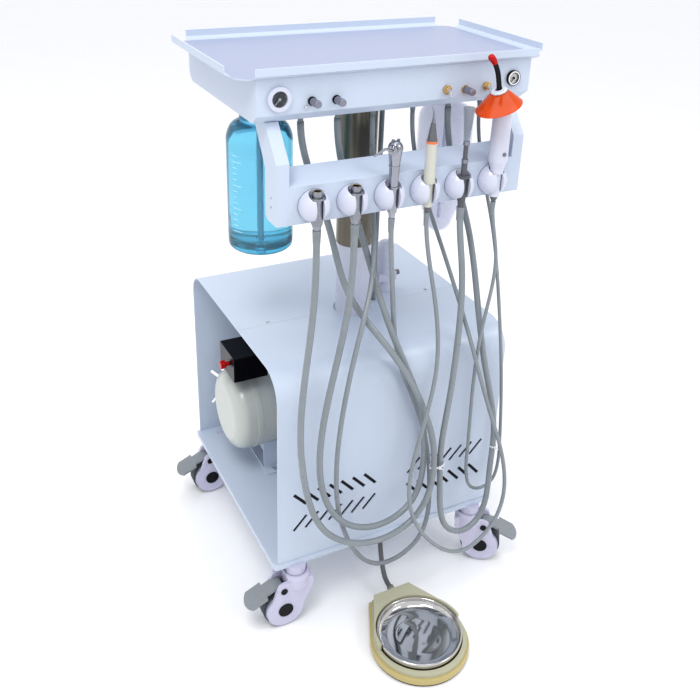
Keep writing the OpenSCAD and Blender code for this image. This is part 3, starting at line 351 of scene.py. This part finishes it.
def spline(route, start, end, step=10):
    """Points about step mm apart on the smooth cubic curve through every point of a route, whose
    bend changes evenly. It leaves along start and arrives along end."""
    pts = [Vector(p) for p in route]
    legs = [(q - p).length for p, q in zip(pts, pts[1:])]
    share = [0.0]
    pace = [Vector(start)]
    for i in range(1, len(pts) - 1):
        a, b = legs[i - 1], legs[i]
        pivot = 2 * (a + b) - b * share[i - 1]
        goal = 3 * (a / b * (pts[i + 1] - pts[i]) + b / a * (pts[i] - pts[i - 1]))
        pace.append((goal - b * pace[i - 1]) / pivot)
        share.append(a / pivot)
    pace.append(Vector(end))
    for i in range(len(pts) - 2, 0, -1):
        pace[i] = pace[i] - share[i] * pace[i + 1]
    out = []
    for i, leg in enumerate(legs):
        count = max(2, round(leg / step))
        for k in range(count):
            t = k / count
            out.append((2 * t ** 3 - 3 * t * t + 1) * pts[i] + (t ** 3 - 2 * t * t + t) * leg * pace[i]
                       + (3 * t * t - 2 * t ** 3) * pts[i + 1] + (t ** 3 - t * t) * leg * pace[i + 1])
    return out + [pts[-1]]


def tube(points, radius, sides=16):
    """A round tube along points. radius is a number or a function of the share of the way along."""
    bm = bmesh.new()
    size = radius if callable(radius) else lambda share: radius
    around = [(math.cos(TAU * k / sides), math.sin(TAU * k / sides)) for k in range(sides)]
    rings, side = [], Vector((1, 0, 0))
    for i, p in enumerate(points):
        ahead = (points[min(i + 1, len(points) - 1)] - points[max(i - 1, 0)]).normalized()
        side = side - ahead * side.dot(ahead)
        if side.length < 1e-6:
            side = ahead.orthogonal()
        side.normalize()
        other = ahead.cross(side)
        r = size(i / (len(points) - 1))
        rings.append([bm.verts.new((p + r * (c * side + s * other)) * MM) for c, s in around])
    skin(bm, rings)
    bm.faces.new(rings[0][::-1])
    bm.faces.new(rings[-1])
    return finished(bm, "tube")


def with_material(mesh, made_of):
    mesh.materials.append(made_of)
    return mesh


def joined(meshes):
    """One mesh from several, keeping each one's first material."""
    bm = bmesh.new()
    used = []
    for mesh in meshes:
        start = len(bm.faces)
        bm.from_mesh(mesh)
        bm.faces.ensure_lookup_table()
        if mesh.materials[0] not in used:
            used.append(mesh.materials[0])
        for face in bm.faces[start:]:
            face.material_index = used.index(mesh.materials[0])
    out = finished(bm, "joined")
    for m in used:
        out.materials.append(m)
    return out


# ---------------------------------------------------------------- hoses
# The routes repeat those of the CAD source, in mm.

HOLDER_X = [-155, -93, -31, 31, 93, 155]
HOLDER_Y = -98
HOSE_TOP_Z = 742
HOSES = [
    ("connector_1", 10.5, [(-145, -15, 880), (-105, -36, 715), (-85, -75, 610), (-45, -126, 540),
     (25, -142, 410), (50, -150, 295), (20, -163, 215), (-65, -168, 185), (-155, -166, 230),
     (-195, -160, 330), (-200, -148, 420), (-165, -115, 640), (-155, -98, 742)]),
    ("connector_2", 10.5, [(-85, -15, 880), (-45, -36, 685), (-35, -98, 585), (-5, -126, 490),
     (30, -122, 405), (40, -132, 295), (15, -144, 225), (-50, -150, 200), (-115, -150, 225),
     (-160, -146, 310), (-160, -138, 400), (-105, -112, 625), (-93, -98, 742)]),
    ("syringe", 8, [(-25, -15, 880), (-25, -34, 705), (-50, -80, 635), (-95, -128, 560),
     (-120, -134, 445), (-130, -136, 310), (-110, -138, 190), (-30, -138, 95), (35, -140, 125),
     (65, -122, 210), (45, -106, 360), (-10, -103, 510), (-22, -98, 620), (-31, -98, 742)]),
    ("scaler", 7, [(45, -15, 880), (95, -34, 675), (120, -122, 510), (155, -152, 375),
     (190, -168, 250), (175, -176, 145), (115, -180, 105), (35, -180, 155), (-15, -178, 285),
     (10, -166, 390), (45, -140, 480), (45, -112, 615), (31, -98, 742)]),
    ("suction_handle", 10.5, [(110, -15, 880), (160, -34, 665), (145, -98, 565), (160, -122, 440),
     (184, -134, 310), (181, -139, 235), (177, -143, 173), (161, -148, 137.5), (127, -151, 121),
     (93, -150, 137.5), (76, -149, 173), (69, -147, 235), (66, -144, 310), (80, -135, 410),
     (95, -122, 515), (100, -108, 635), (93, -98, 742)]),
    ("curing_light", 6, [(170, -15, 880), (210, -34, 660), (185, -104, 560), (205, -112, 400),
     (215, -117, 265), (214, -119, 214), (204, -121, 189), (180, -122, 179), (156, -121, 189),
     (146, -119, 214), (143, -117, 275), (137, -121, 410), (145, -122, 545), (170, -102, 640),
     (155, -98, 742)]),
]
FOOT_ROUTE = [(0, -66, 113.5), (0, -68, 98), (-4, -80, 68), (-9, -100, 42), (-12, -118, 30), (-12, -135, 26)]


for number, (tool, width, route) in enumerate(HOSES, 1):
    line = spline(route, (0, 0, -1), (0, 0, 1))
    mesh = with_material(tube(line, width / 2, 20), HOSE)
    mesh.shade_smooth()
    hose = placed(f"hose_tube_{number}", mesh)
    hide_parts(f"hose_{number}")
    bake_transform(hose)

foot_line = spline(FOOT_ROUTE, (0, 0, -1), (0, -1, 0), 5)
foot_hose = add("foot_hose_tube", with_material(tube(foot_line, 4.5, 20), DARK_HOSE), "base",
                ["foot_hose"])

STRAP_THICK, STRAP_HALF = 1.1, 1.6


def tie(at, wide, deep, along):
    """A cable tie: a flat strap round a few hoses, with its little lock. wide and deep are half of
    the space inside it, and along is the way that the hoses run."""
    spin = Vector((0, 0, 1)).rotation_difference(Vector(along)).to_matrix()
    middle = Vector(at)
    section = ((0, -STRAP_HALF), (STRAP_THICK, -STRAP_HALF), (STRAP_THICK, STRAP_HALF), (0, STRAP_HALF))
    bm = bmesh.new()
    loops = []
    for k in range(48):
        a = TAU * k / 48
        out = Vector((math.cos(a), math.sin(a), 0))
        corners = [Vector((out.x * (wide + d), out.y * (deep + d), h)) for d, h in section]
        loops.append([bm.verts.new((middle + spin @ corner) * MM) for corner in corners])
    skin(bm, loops + loops[:1])
    bmesh.ops.recalc_face_normals(bm, faces=bm.faces)
    strap = finished(bm, "strap")
    lock_at = middle + spin @ Vector((0, -deep - 1.6, 0))
    lock = turned(lock_at, rounded([(0, -2.2), (2.6, -2.2), (2.8, 2.2), (0, 2.2)], 0.7, 3), 24, (0, -1, 0))
    tail = tube([lock_at, lock_at + Vector((1.5, -3, -1)), lock_at + Vector((5, -5, -2))], 0.9, 8)
    return joined([with_material(m, NYLON) for m in (strap, lock, tail)])


add("hose_tie_1", tie((58, -147.5, 289), 14.2, 7.4, (-0.1, -0.05, 1)), "head")
add("hose_tie_2", tie((184, -135.8, 283), 5.3, 5.3, (0, -0.08, 1)), "head")

# Ribbed sleeves that guard each hose below its instrument
for number, (tool, width, _) in enumerate(HOSES, 1):
    r = width / 2
    profile = [(r - 0.2, -22), (r + 0.3, -22)]
    for k in range(6):
        z = -20.5 + 3.1 * k
        grow = r + 0.45 + 0.14 * k
        profile += [(grow, z), (grow, z + 1.9), (grow - 0.3, z + 2.1), (grow - 0.3, z + 2.9)]
    profile += [(r + 1.3, -1.2), (r + 1.3, -0.2), (r - 0.2, -0.2)]
    sleeve = turned((HOLDER_X[number - 1], HOLDER_Y, HOSE_TOP_Z), profile, 32)
    add(f"hose_sleeve_{number}", with_material(sleeve, HOSE), tool)

# ---------------------------------------------------------------- base, cabinet and column

COLUMN_Y = 77
TANK_Y = 200


def near(x, y, reach):
    """A test for faces within reach of an upright axis."""
    return lambda p, n: math.hypot(p.x - x, p.y - y) < reach


dress("base_plate", WHITE, bevel=0.9)
dress("base_fasteners", CASTER_WHITE,
      (ZINC, lambda p, n: p.z > 130),
      (DARK_HOSE, near(0, -66, 14)), bevel=0.5)
dress("front_cover", WHITE, bevel=0.5)
dress("rear_cover", WHITE, bevel=0.5)
dress("column_post", POST_WHITE,
      (ZINC, lambda p, n: p.z > 137.6 and math.hypot(p.x, p.y - COLUMN_Y) > 34), bevel=0.7)


def shade_sheet_mesh(x0, x1, y0, y1, z0, z1):
    """A dark sheet with a waffled face, between two heights and depths: painted shade behind the vent slots.
    """
    wide, high, pitch, dent = 40, 24, 1.57, 0.35
    bm = bmesh.new()
    sheets = []
    for y, sign in ((y0, -1), (y1, 1)):
        rows = []
        for k in range(high + 1):
            z = z0 + (z1 - z0) * k / high
            waffle = [y - sign * dent * abs(math.sin(i * pitch) * math.sin(k * pitch))
                      for i in range(wide + 1)]
            rows.append([bm.verts.new(Vector((x0 + (x1 - x0) * i / wide, dented, z)) * MM)
                         for i, dented in enumerate(waffle)])
        sheets.append(rows)
    for rows in sheets:
        for k in range(high):
            for i in range(wide):
                bm.faces.new((rows[k][i], rows[k][i + 1], rows[k + 1][i + 1], rows[k + 1][i]))
    rim = [(0, i) for i in range(wide)] + [(k, wide) for k in range(high)]
    rim += [(high, i) for i in range(wide, 0, -1)] + [(k, 0) for k in range(high, 0, -1)]
    for (k, i), (m, j) in zip(rim, rim[1:] + rim[:1]):
        bm.faces.new((sheets[0][k][i], sheets[0][m][j], sheets[1][m][j], sheets[1][k][i]))
    bmesh.ops.recalc_face_normals(bm, faces=bm.faces)
    return finished(bm, "mat")


# Painted shade: dark sheets just behind the front vent slots, so that the slots read dark
add("vent_shade_sheets", joined([with_material(shade_sheet_mesh(x0, x1, -95.2, -93.4, 180, 283), SHADE_SHEET)
                         for x0, x1 in ((-200, -22), (22, 200))]), "base")
dress("compressor_tank", CREAM,
      (BRASS, lambda p, n: p.z > 335.8 and math.hypot(p.x + 144, p.y - TANK_Y) < 8.3), bevel=0.6)
dress("compressor_motor", CAST,
      (GREY, lambda p, n: p.z > 279 and n.z > -0.9),
      (BRASS, near(96, TANK_Y, 7.5)), bevel=0.8)
dress("compressor_cradle", WHITE, (ZINC, lambda p, n: p.z > 133.6 and abs(p.y - TANK_Y) > 52), bevel=0.6)
dress("pressure_switch", BLACK, bevel=2.2, segments=4)
dress("filter_regulator", GLOSS_WHITE, (GREY, lambda p, n: abs(p.x - 88) > 18.2), bevel=0.7)
dress("power_inlet", BLACK, bevel=1.2, segments=3)
dress("supply_hose", HOSE, bevel=0.3)

# ---------------------------------------------------------------- foot control

dress("foot_housing", BEIGE,
      (SOLE, lambda p, n: p.z < 4.2),
      (SKIRT, lambda p, n: 4.2 <= p.z < 16.5),
      (DARK_HOSE, lambda p, n: p.y > -142.8 and math.hypot(p.x + 12, p.z - 26) < 7), bevel=2.2, segments=4)
DISH_AT = (-18, -247, 0)
dish = rounded([(0, 17), (60, 17), (73.2, 19), (73.9, 31.5), (73.4, 33.6), (71.6, 34.2), (70.4, 33.4),
                (69.4, 28), (66, 23.4), (56, 20.2), (38, 18.7), (20, 18.3), (0, 18.2)], 3, 5)
stem = [(0, 6.5), (6, 6.5), (6, 17.2), (0, 17.2)]
add("foot_dish", joined([with_material(turned(DISH_AT, dish, 128), DISH),
                         with_material(turned(DISH_AT, stem, 32), CHROME)]),
    "foot_pedal", ["foot_pedal"])

# ---------------------------------------------------------------- casters

# Where each caster stands, and the way that its wheels trail, in degrees from +X
CASTERS = {"fl": (-182, -92, 180), "fr": (182, -92, -37), "bl": (-182, 303, 180), "br": (182, 303, 0)}
for key, (cx, cy, turn) in CASTERS.items():
    a = math.radians(turn)
    side = Vector((-math.sin(a), math.cos(a), 0))
    lead = Vector((math.cos(a), math.sin(a), 0))
    hub_at = Vector((cx, cy, 37.5)) + lead * 27
    screw_at = Vector((cx, cy, 81)) + lead * 30

    def off_axis(p, center):
        """How far a point is from an axle through center."""
        d = p - center
        return (d - side * d.dot(side)).length

    def black_cap(p, n):
        if abs((p - hub_at).dot(side)) <= 21.05:
            return False
        return off_axis(p, hub_at) < 14 or off_axis(p, screw_at) < 6.5

    def core(p, n):
        return off_axis(p, hub_at) < 23.9

    dress("caster_housing_" + key, CASTER_WHITE, (BLACK, black_cap), bevel=1.0, segments=3)
    dress("caster_wheel_" + key, TYRE, (HUB, core), bevel=1.2, segments=3)
    dress("brake_pedal_" + key, PEDAL_GREY, bevel=0.9, segments=3)

# ---------------------------------------------------------------- head

dress("column_sleeve", SLEEVE,
      (BLACK, lambda p, n: p.z < 648 and math.hypot(p.x, p.y - COLUMN_Y) > 32.2), bevel=0.4)
# The tray's up-facing floor takes the darker copy of the white paint: painted shade
dress("tray", WHITE, (TRAY_FLOOR, lambda p, n: n.z > 0.95 and p.z < 960), bevel=0.7)
dress("control_box", WHITE, bevel=1.2, segments=3)
dress("valve_block", ZINC, (HOSE, lambda p, n: p.z < 890), bevel=0.5)
dress("instrument_bar", WHITE, bevel=1.4, segments=3)
dress("instrument_holders", GLOSS_WHITE, bevel=0.7, segments=3)

# A thin dark ring of painted shadow where each holder's ball meets the bar
SHADOW_RING_R, SHADOW_RING_Y, SHADOW_RING_Z = 24.3, -84.15, 776.5
for number, x in enumerate(HOLDER_X, 1):
    turns = [TAU * k / 96 for k in range(97)]
    shadow_ring = [Vector((x + SHADOW_RING_R * math.cos(a), SHADOW_RING_Y, SHADOW_RING_Z + SHADOW_RING_R * math.sin(a))) for a in turns]
    add(f"holder_shadow_ring_{number}", with_material(tube(shadow_ring, 0.4, 6), GREY), "head")

PANEL_Y = -60
DIAL_X, DIAL_Z = 197, 928
dress("panel_fittings", GLOSS_WHITE,
      (BLACK, lambda p, n: p.x > 180),
      (BRASS, lambda p, n: min(abs(p.x - 76), abs(p.x - 148), abs(p.x - 109)) < 8),
      (BLACK, lambda p, n: min(abs(p.x + 147), abs(p.x + 109)) < 7 and p.z > 914),
      (ZINC, lambda p, n: abs(p.x + 156) < 3.5 and p.z < 917),
      (DIAL_DARK, lambda p, n: abs(p.y - PANEL_Y) < 0.1 and math.hypot(p.x + DIAL_X, p.z - DIAL_Z) < 11.6),
      (DIAL, lambda p, n: abs(p.y - PANEL_Y) < 0.1 and math.hypot(p.x - DIAL_X, p.z - DIAL_Z) < 9.1),
      bevel=0.3)
dress("gauge_needle_left", PALE_MARK, bevel=0)
dress("gauge_needle_right", BLACK, bevel=0)

FORWARD = (0, -1, 0)

# Panel knobs with lengthwise grooves
shaft = [(0, -15), (2, -15), (2, -8), (0, -8)]
grip = rounded([(2, -1), (2, 0), (4.9, 0), (5.5, 1), (5.5, 3), (5.5, 5), (5.5, 9), (5.5, 14), (5.5, 17),
                (5.5, 18.5), (4.9, 20), (0, 20)], 0.3, 2)
for number, (x, z) in enumerate([(-147, 921), (-109, 920), (109, 917)], 1):
    knob_at = (x, -61.3, z)
    add(f"panel_knob_{number}",
        joined([with_material(turned(knob_at, shaft, 24, FORWARD), ZINC),
                with_material(turned(knob_at, grip, 120, FORWARD, 24, 0.5, (2.5, 17.5)), KNOB_GREY)]),
        f"flow_knob_{number}", [f"flow_knob_{number}"])

# Gauge dials: graduation marks on the dial and a thin window
MARK_Y = -60.2
for name, x, face, ink in (("left", -DIAL_X, 11.4, PALE_MARK), ("right", DIAL_X, 8.9, BLACK)):
    scale_r = face - 0.9
    gauge_at = (x, -58, DIAL_Z)

    def on_dial(r, degrees):
        a = math.radians(degrees)
        return Vector((x + r * math.cos(a), MARK_Y, DIAL_Z + r * math.sin(a)))

    marks = []
    for k in range(21):
        length, width = (2.2, 0.3) if k % 5 == 0 else (1.2, 0.18)
        angle = 225 - 270 * k / 20
        mark = tube([on_dial(scale_r - length, angle), on_dial(scale_r, angle)], width, 6)
        marks.append(with_material(mark, ink))
    marks.append(with_material(tube([on_dial(scale_r, 225 - 9 * k) for k in range(31)], 0.16, 6), ink))
    if name == "right":
        rim = [(9, 4.9), (9, 5.15), (10.7, 5.15), (10.9, 4.9), (9, 4.9)]
        marks.append(with_material(turned(gauge_at, rim, 64, FORWARD), DIAL))
    add("dial_marks_" + name, joined(marks), "head")
    window = [(0, 4.6), (face * 0.6, 4.55), (face, 4.3), (face, 3.9), (face * 0.6, 4.15), (0, 4.2)]
    add("dial_window_" + name, with_material(turned(gauge_at, window, 64, FORWARD), GLASS), "head")

# Clear nozzles that hang from the two brass ports
for number, (x, z) in enumerate([(76, 919), (148, 919)], 1):
    drop = spline([(x, -64, z), (x + 0.5, -68.5, z - 2), (x + 1.5, -69.5, z - 10)], FORWARD, (0.1, 0, -1), 1)
    nozzle = with_material(tube(drop, lambda t: 3 - 0.9 * t, 20), NOZZLE)
    add(f"port_nozzle_{number}", nozzle, "head")

# ---------------------------------------------------------------- bottles

BLUE_AT, CLEAR_AT = (-172, 80, 0), (172, 80, 0)
WATER_Z = 672
blue_wall = rounded([(31, 877.7), (31, 866), (33, 862), (45, 855), (52.4, 838), (52.5, 820), (52.5, 700),
                     (52.5, 668), (52, 656), (44, 650.2), (20, 650), (0, 651)], 8, 6)
blue_wall += rounded([(0, 653.4), (20, 652.6), (42, 653), (49.5, 660), (50.3, 672), (50.4, 700), (50.4, 820),
                      (50, 836), (43.5, 852.5), (31, 860), (28.8, 866), (28.8, 877.7)], 8, 6)
add("water_bottle_wall", with_material(turned(BLUE_AT, blue_wall, 96), BLUE_BOTTLE), "water_bottle",
    ["water_bottle"])
# The water goes round the pickup pipe
water = rounded([(0, 653.9), (20, 653.1), (42, 653.5), (49, 660.5), (49.8, WATER_Z), (3.4, WATER_Z),
                 (3.4, 657), (0, 657)], 2, 3)
add("water_in_bottle", with_material(turned(BLUE_AT, water, 96), WATER), "water_bottle")
ticks = []
for k in range(14):
    z = 690 + k * 9.5
    reach = 0.34 if k % 4 == 0 else 0.18
    turns = [math.radians(196) + reach * t for t in (0, 0.25, 0.5, 0.75, 1)]
    line = [Vector((BLUE_AT[0] + 52.55 * math.cos(a), BLUE_AT[1] + 52.55 * math.sin(a), z)) for a in turns]
    ticks.append(with_material(tube(line, 0.35, 6), MARKS))
add("water_bottle_marks", joined(ticks), "water_bottle")

clear_wall = rounded([(20, 875.7), (20, 862), (22, 859), (38, 853), (46.5, 840), (48, 826), (48, 720),
                      (47.5, 706), (43, 694), (22, 634), (18, 628), (14, 624.5), (0, 624.2)], 7, 6)
clear_wall += rounded([(0, 626.4), (13, 626.7), (16.5, 630), (20.5, 636), (41, 695), (45.5, 707), (46, 720),
                       (46, 826), (44.6, 838.5), (37, 851), (20, 857.5), (18, 862), (18, 875.7)], 7, 6)
add("clear_bottle_wall", with_material(turned(CLEAR_AT, clear_wall, 96), CLEAR_BOTTLE), "clear_bottle",
    ["clear_bottle"])


def cap(at, low, high, r):
    """A ribbed screw cap with its skirt, between two heights."""
    outline = [(0, low + 4), (r - 3, low + 4), (r - 3, low)]
    outline += rounded([(r - 1, low), (r, low + 1), (r, low + 2), (r, high - 2.5), (r, high - 2),
                        (r - 1.2, high), (0, high)], 0.8, 3)
    return turned(at, outline, 180, (0, 0, 1), 45, 0.7, (low + 1.6, high - 2.2))


pipes = [with_material(tube([Vector((x, y, low)), Vector((x, y, 884))], 3, 20), GLOSS_WHITE)
         for (x, y, _), low in ((BLUE_AT, WATER_Z), (CLEAR_AT, 646))]
add("bottle_caps_ribbed", joined([
    with_material(cap(BLUE_AT, 878, 892, 34), BLUE_CAP),
    with_material(cap(CLEAR_AT, 876, 892, 24), GLOSS_WHITE), *pipes]), "head", ["bottle_caps"])

# ---------------------------------------------------------------- instruments

for number, x in enumerate(HOLDER_X[:2], 1):
    dress(f"connector_{number}", STEEL,
          (BRASS, lambda p, n: p.z > 795.2 and math.hypot(p.x - x, p.y - HOLDER_Y) < 4.9), bevel=0.35)
dress("syringe", CHROME, bevel=0.3)
dress("air_button", GREY, bevel=0.5)
dress("water_button", GREY, bevel=0.5)
dress("scaler", SCALER,
      (ORANGE_RING, lambda p, n: 852.05 < p.z < 855.95),
      (CONE_GREY, lambda p, n: p.z >= 855.9),
      (STEEL, lambda p, n: p.z > 882.1),
      (DARK_HOSE, lambda p, n: p.z < 752), bevel=0.4)
dress("suction_handle", SLEEVE_GREY,
      (STEEL, lambda p, n: 814 < p.z < 820 or 842 < p.z < 848),
      (TIP_GREY, lambda p, n: p.z > 848), bevel=0.35)
# The light's guide is left out here, because light_guide below takes its place
dress("curing_light", GLOSS_WHITE, (DARK_HOSE, lambda p, n: p.z < 752), bevel=0.5, segments=3,
      drop=lambda p: p.z > 916.5 or (p.z > 912 and math.hypot(p.x - 145, p.y - HOLDER_Y) < 5.8))

# The tilted head of the light: orange shield and rings, drawn about the shield's middle
TILT = Matrix.Rotation(math.radians(-20), 3, "Y")
SHIELD_AT = Vector((144.2, HOLDER_Y, 918.5))


def tilted(mesh):
    mesh.transform(Matrix.Translation(SHIELD_AT * MM) @ TILT.to_4x4())
    return mesh


def lofted(rings):
    """A closed skin over rings given as (middle x, middle y, height, radius), in mm."""
    steps = 112
    around = [(math.cos(TAU * k / steps), math.sin(TAU * k / steps)) for k in range(steps)]
    bm = bmesh.new()
    loops = [[bm.verts.new((cx + r * c, cy + r * s, z)) for c, s in around] for cx, cy, z, r in rings]
    skin(bm, loops + loops[:1])
    bmesh.ops.recalc_face_normals(bm, faces=bm.faces)
    bmesh.ops.scale(bm, vec=(MM, MM, MM), verts=bm.verts)
    return finished(bm, "loft")


def shield_ring(t, inward):
    """A ring of the shield's outer skin, or of its inner one where inward is 1: t goes from its neck
    to its brim, and the cone leans to the left and the front."""
    return (-13 * t, -12 * t, 0.4 - 15 * t - inward * 1.2, 12.6 + 23.2 * t ** 0.92 - inward * 1.3)


shield_rings = [(0, 0, -1.4, 6.6), (0, 0, 0.3, 6.6), (0, 0, 0.45, 9), (0, 0, 0.4, 12)]
shield_rings += [shield_ring(k / 16, 0) for k in range(1, 17)]
shield_rings += [(-13.1, -12.1, -15.1, 35.6)]
shield_rings += [shield_ring(k / 16, 1) for k in range(16, 0, -1)] + [(0, 0, -1.5, 11)]
add("light_shield", tilted(with_material(lofted(shield_rings), SHIELD)), "curing_light",
    ["eye_shield"], smooth=50)
ring = rounded([(6.4, 0.6), (12.4, 0.6), (12.6, 2.6), (11.2, 4.2), (8.6, 4.4), (7.4, 3.4), (6.4, 3.4),
                (6.4, 0.6)], 0.8, 4)
inner = rounded([(5.6, -1), (7.2, -1), (7.2, 4.2), (6.6, 5.4), (5.6, 5.4), (5.6, -1)], 0.5, 3)
add("light_ring", tilted(joined([with_material(turned((0, 0, 0), ring, 96), COLLAR_GREY),
                                 with_material(turned((0, 0, 0), inner, 72), GLOSS_WHITE)])),
    "curing_light")
guide_line = spline([(x, HOLDER_Y, z) for x, z in ((146.2, 911), (144, 922), (139, 945), (131.5, 962))],
                    (-0.15, 0, 1), (-0.6, 0, 1), 1.5)
tip_line = spline([(x, HOLDER_Y, z) for x, z in ((131.5, 962), (126, 969.5), (119.5, 974.5))],
                  (-0.6, 0, 1), (-0.8, 0, 0.45), 0.8)


def tip_width(t):
    """The red tip's radius: it swells from the guide and closes in a round end."""
    swell = 4.0 + 1.3 * math.sin(min(t / 0.7, 1) * math.pi / 2)
    return swell * math.sqrt(max(0.02, 1 - max(0, (t - 0.72) / 0.28) ** 2))


add("light_guide", joined([
    with_material(tube(guide_line, lambda t: 5.4 - 1.5 * min(1, t * 3), 28), GUIDE_BLACK),
    with_material(tube(tip_line, tip_width, 28), RED)]), "curing_light", smooth=60)
dress("curing_button", GREY, bevel=0.5)
dress("switch_knob", RED, bevel=0.8, segments=3)

# ---------------------------------------------------------------- floor and light

floor_mesh = bpy.data.meshes.new("floor")
floor_mesh.from_pydata([(-40, -40, 0), (40, -40, 0), (40, 40, 0), (-40, 40, 0)], [], [(0, 1, 2, 3)])
floor_mesh.materials.append(material("floor_white", (0.95, 0.95, 0.96), rough=0.55, spread=0.01, grain=20,
                                     rough_spread=0.03))
floor = placed("floor", floor_mesh)

world = bpy.data.worlds.new("studio")
bpy.context.scene.world = world
world.use_nodes = True
sky = world.node_tree.nodes["Background"].inputs
sky["Color"].default_value = (0.97, 0.98, 1.0, 1)
sky["Strength"].default_value = 0.85


def softbox(name, at, target, size, power, tint=(1, 1, 1)):
    light = bpy.data.lights.new(name, "AREA")
    light.shape, light.size, light.energy, light.color = "SQUARE", size, power, tint
    lamp = placed(name, light)
    lamp.location = at
    lamp.rotation_mode = "QUATERNION"
    lamp.rotation_quaternion = (Vector(target) - Vector(at)).to_track_quat("-Z", "Y")


softbox("key_left", (-1.1, -0.9, 2.9), (0, 0, 0.5), 1.0, 25, (1.0, 0.99, 0.98))
softbox("fill_right", (1.35, -1.45, 2.2), (0, 0, 0.5), 0.7, 9, (0.95, 0.97, 1.0))
softbox("top", (0.2, 0.6, 2.8), (0, 0, 0.6), 1.6, 10)

bpy.context.scene.view_settings.view_transform = "Standard"
bpy.context.scene.view_settings.look = "Medium High Contrast"
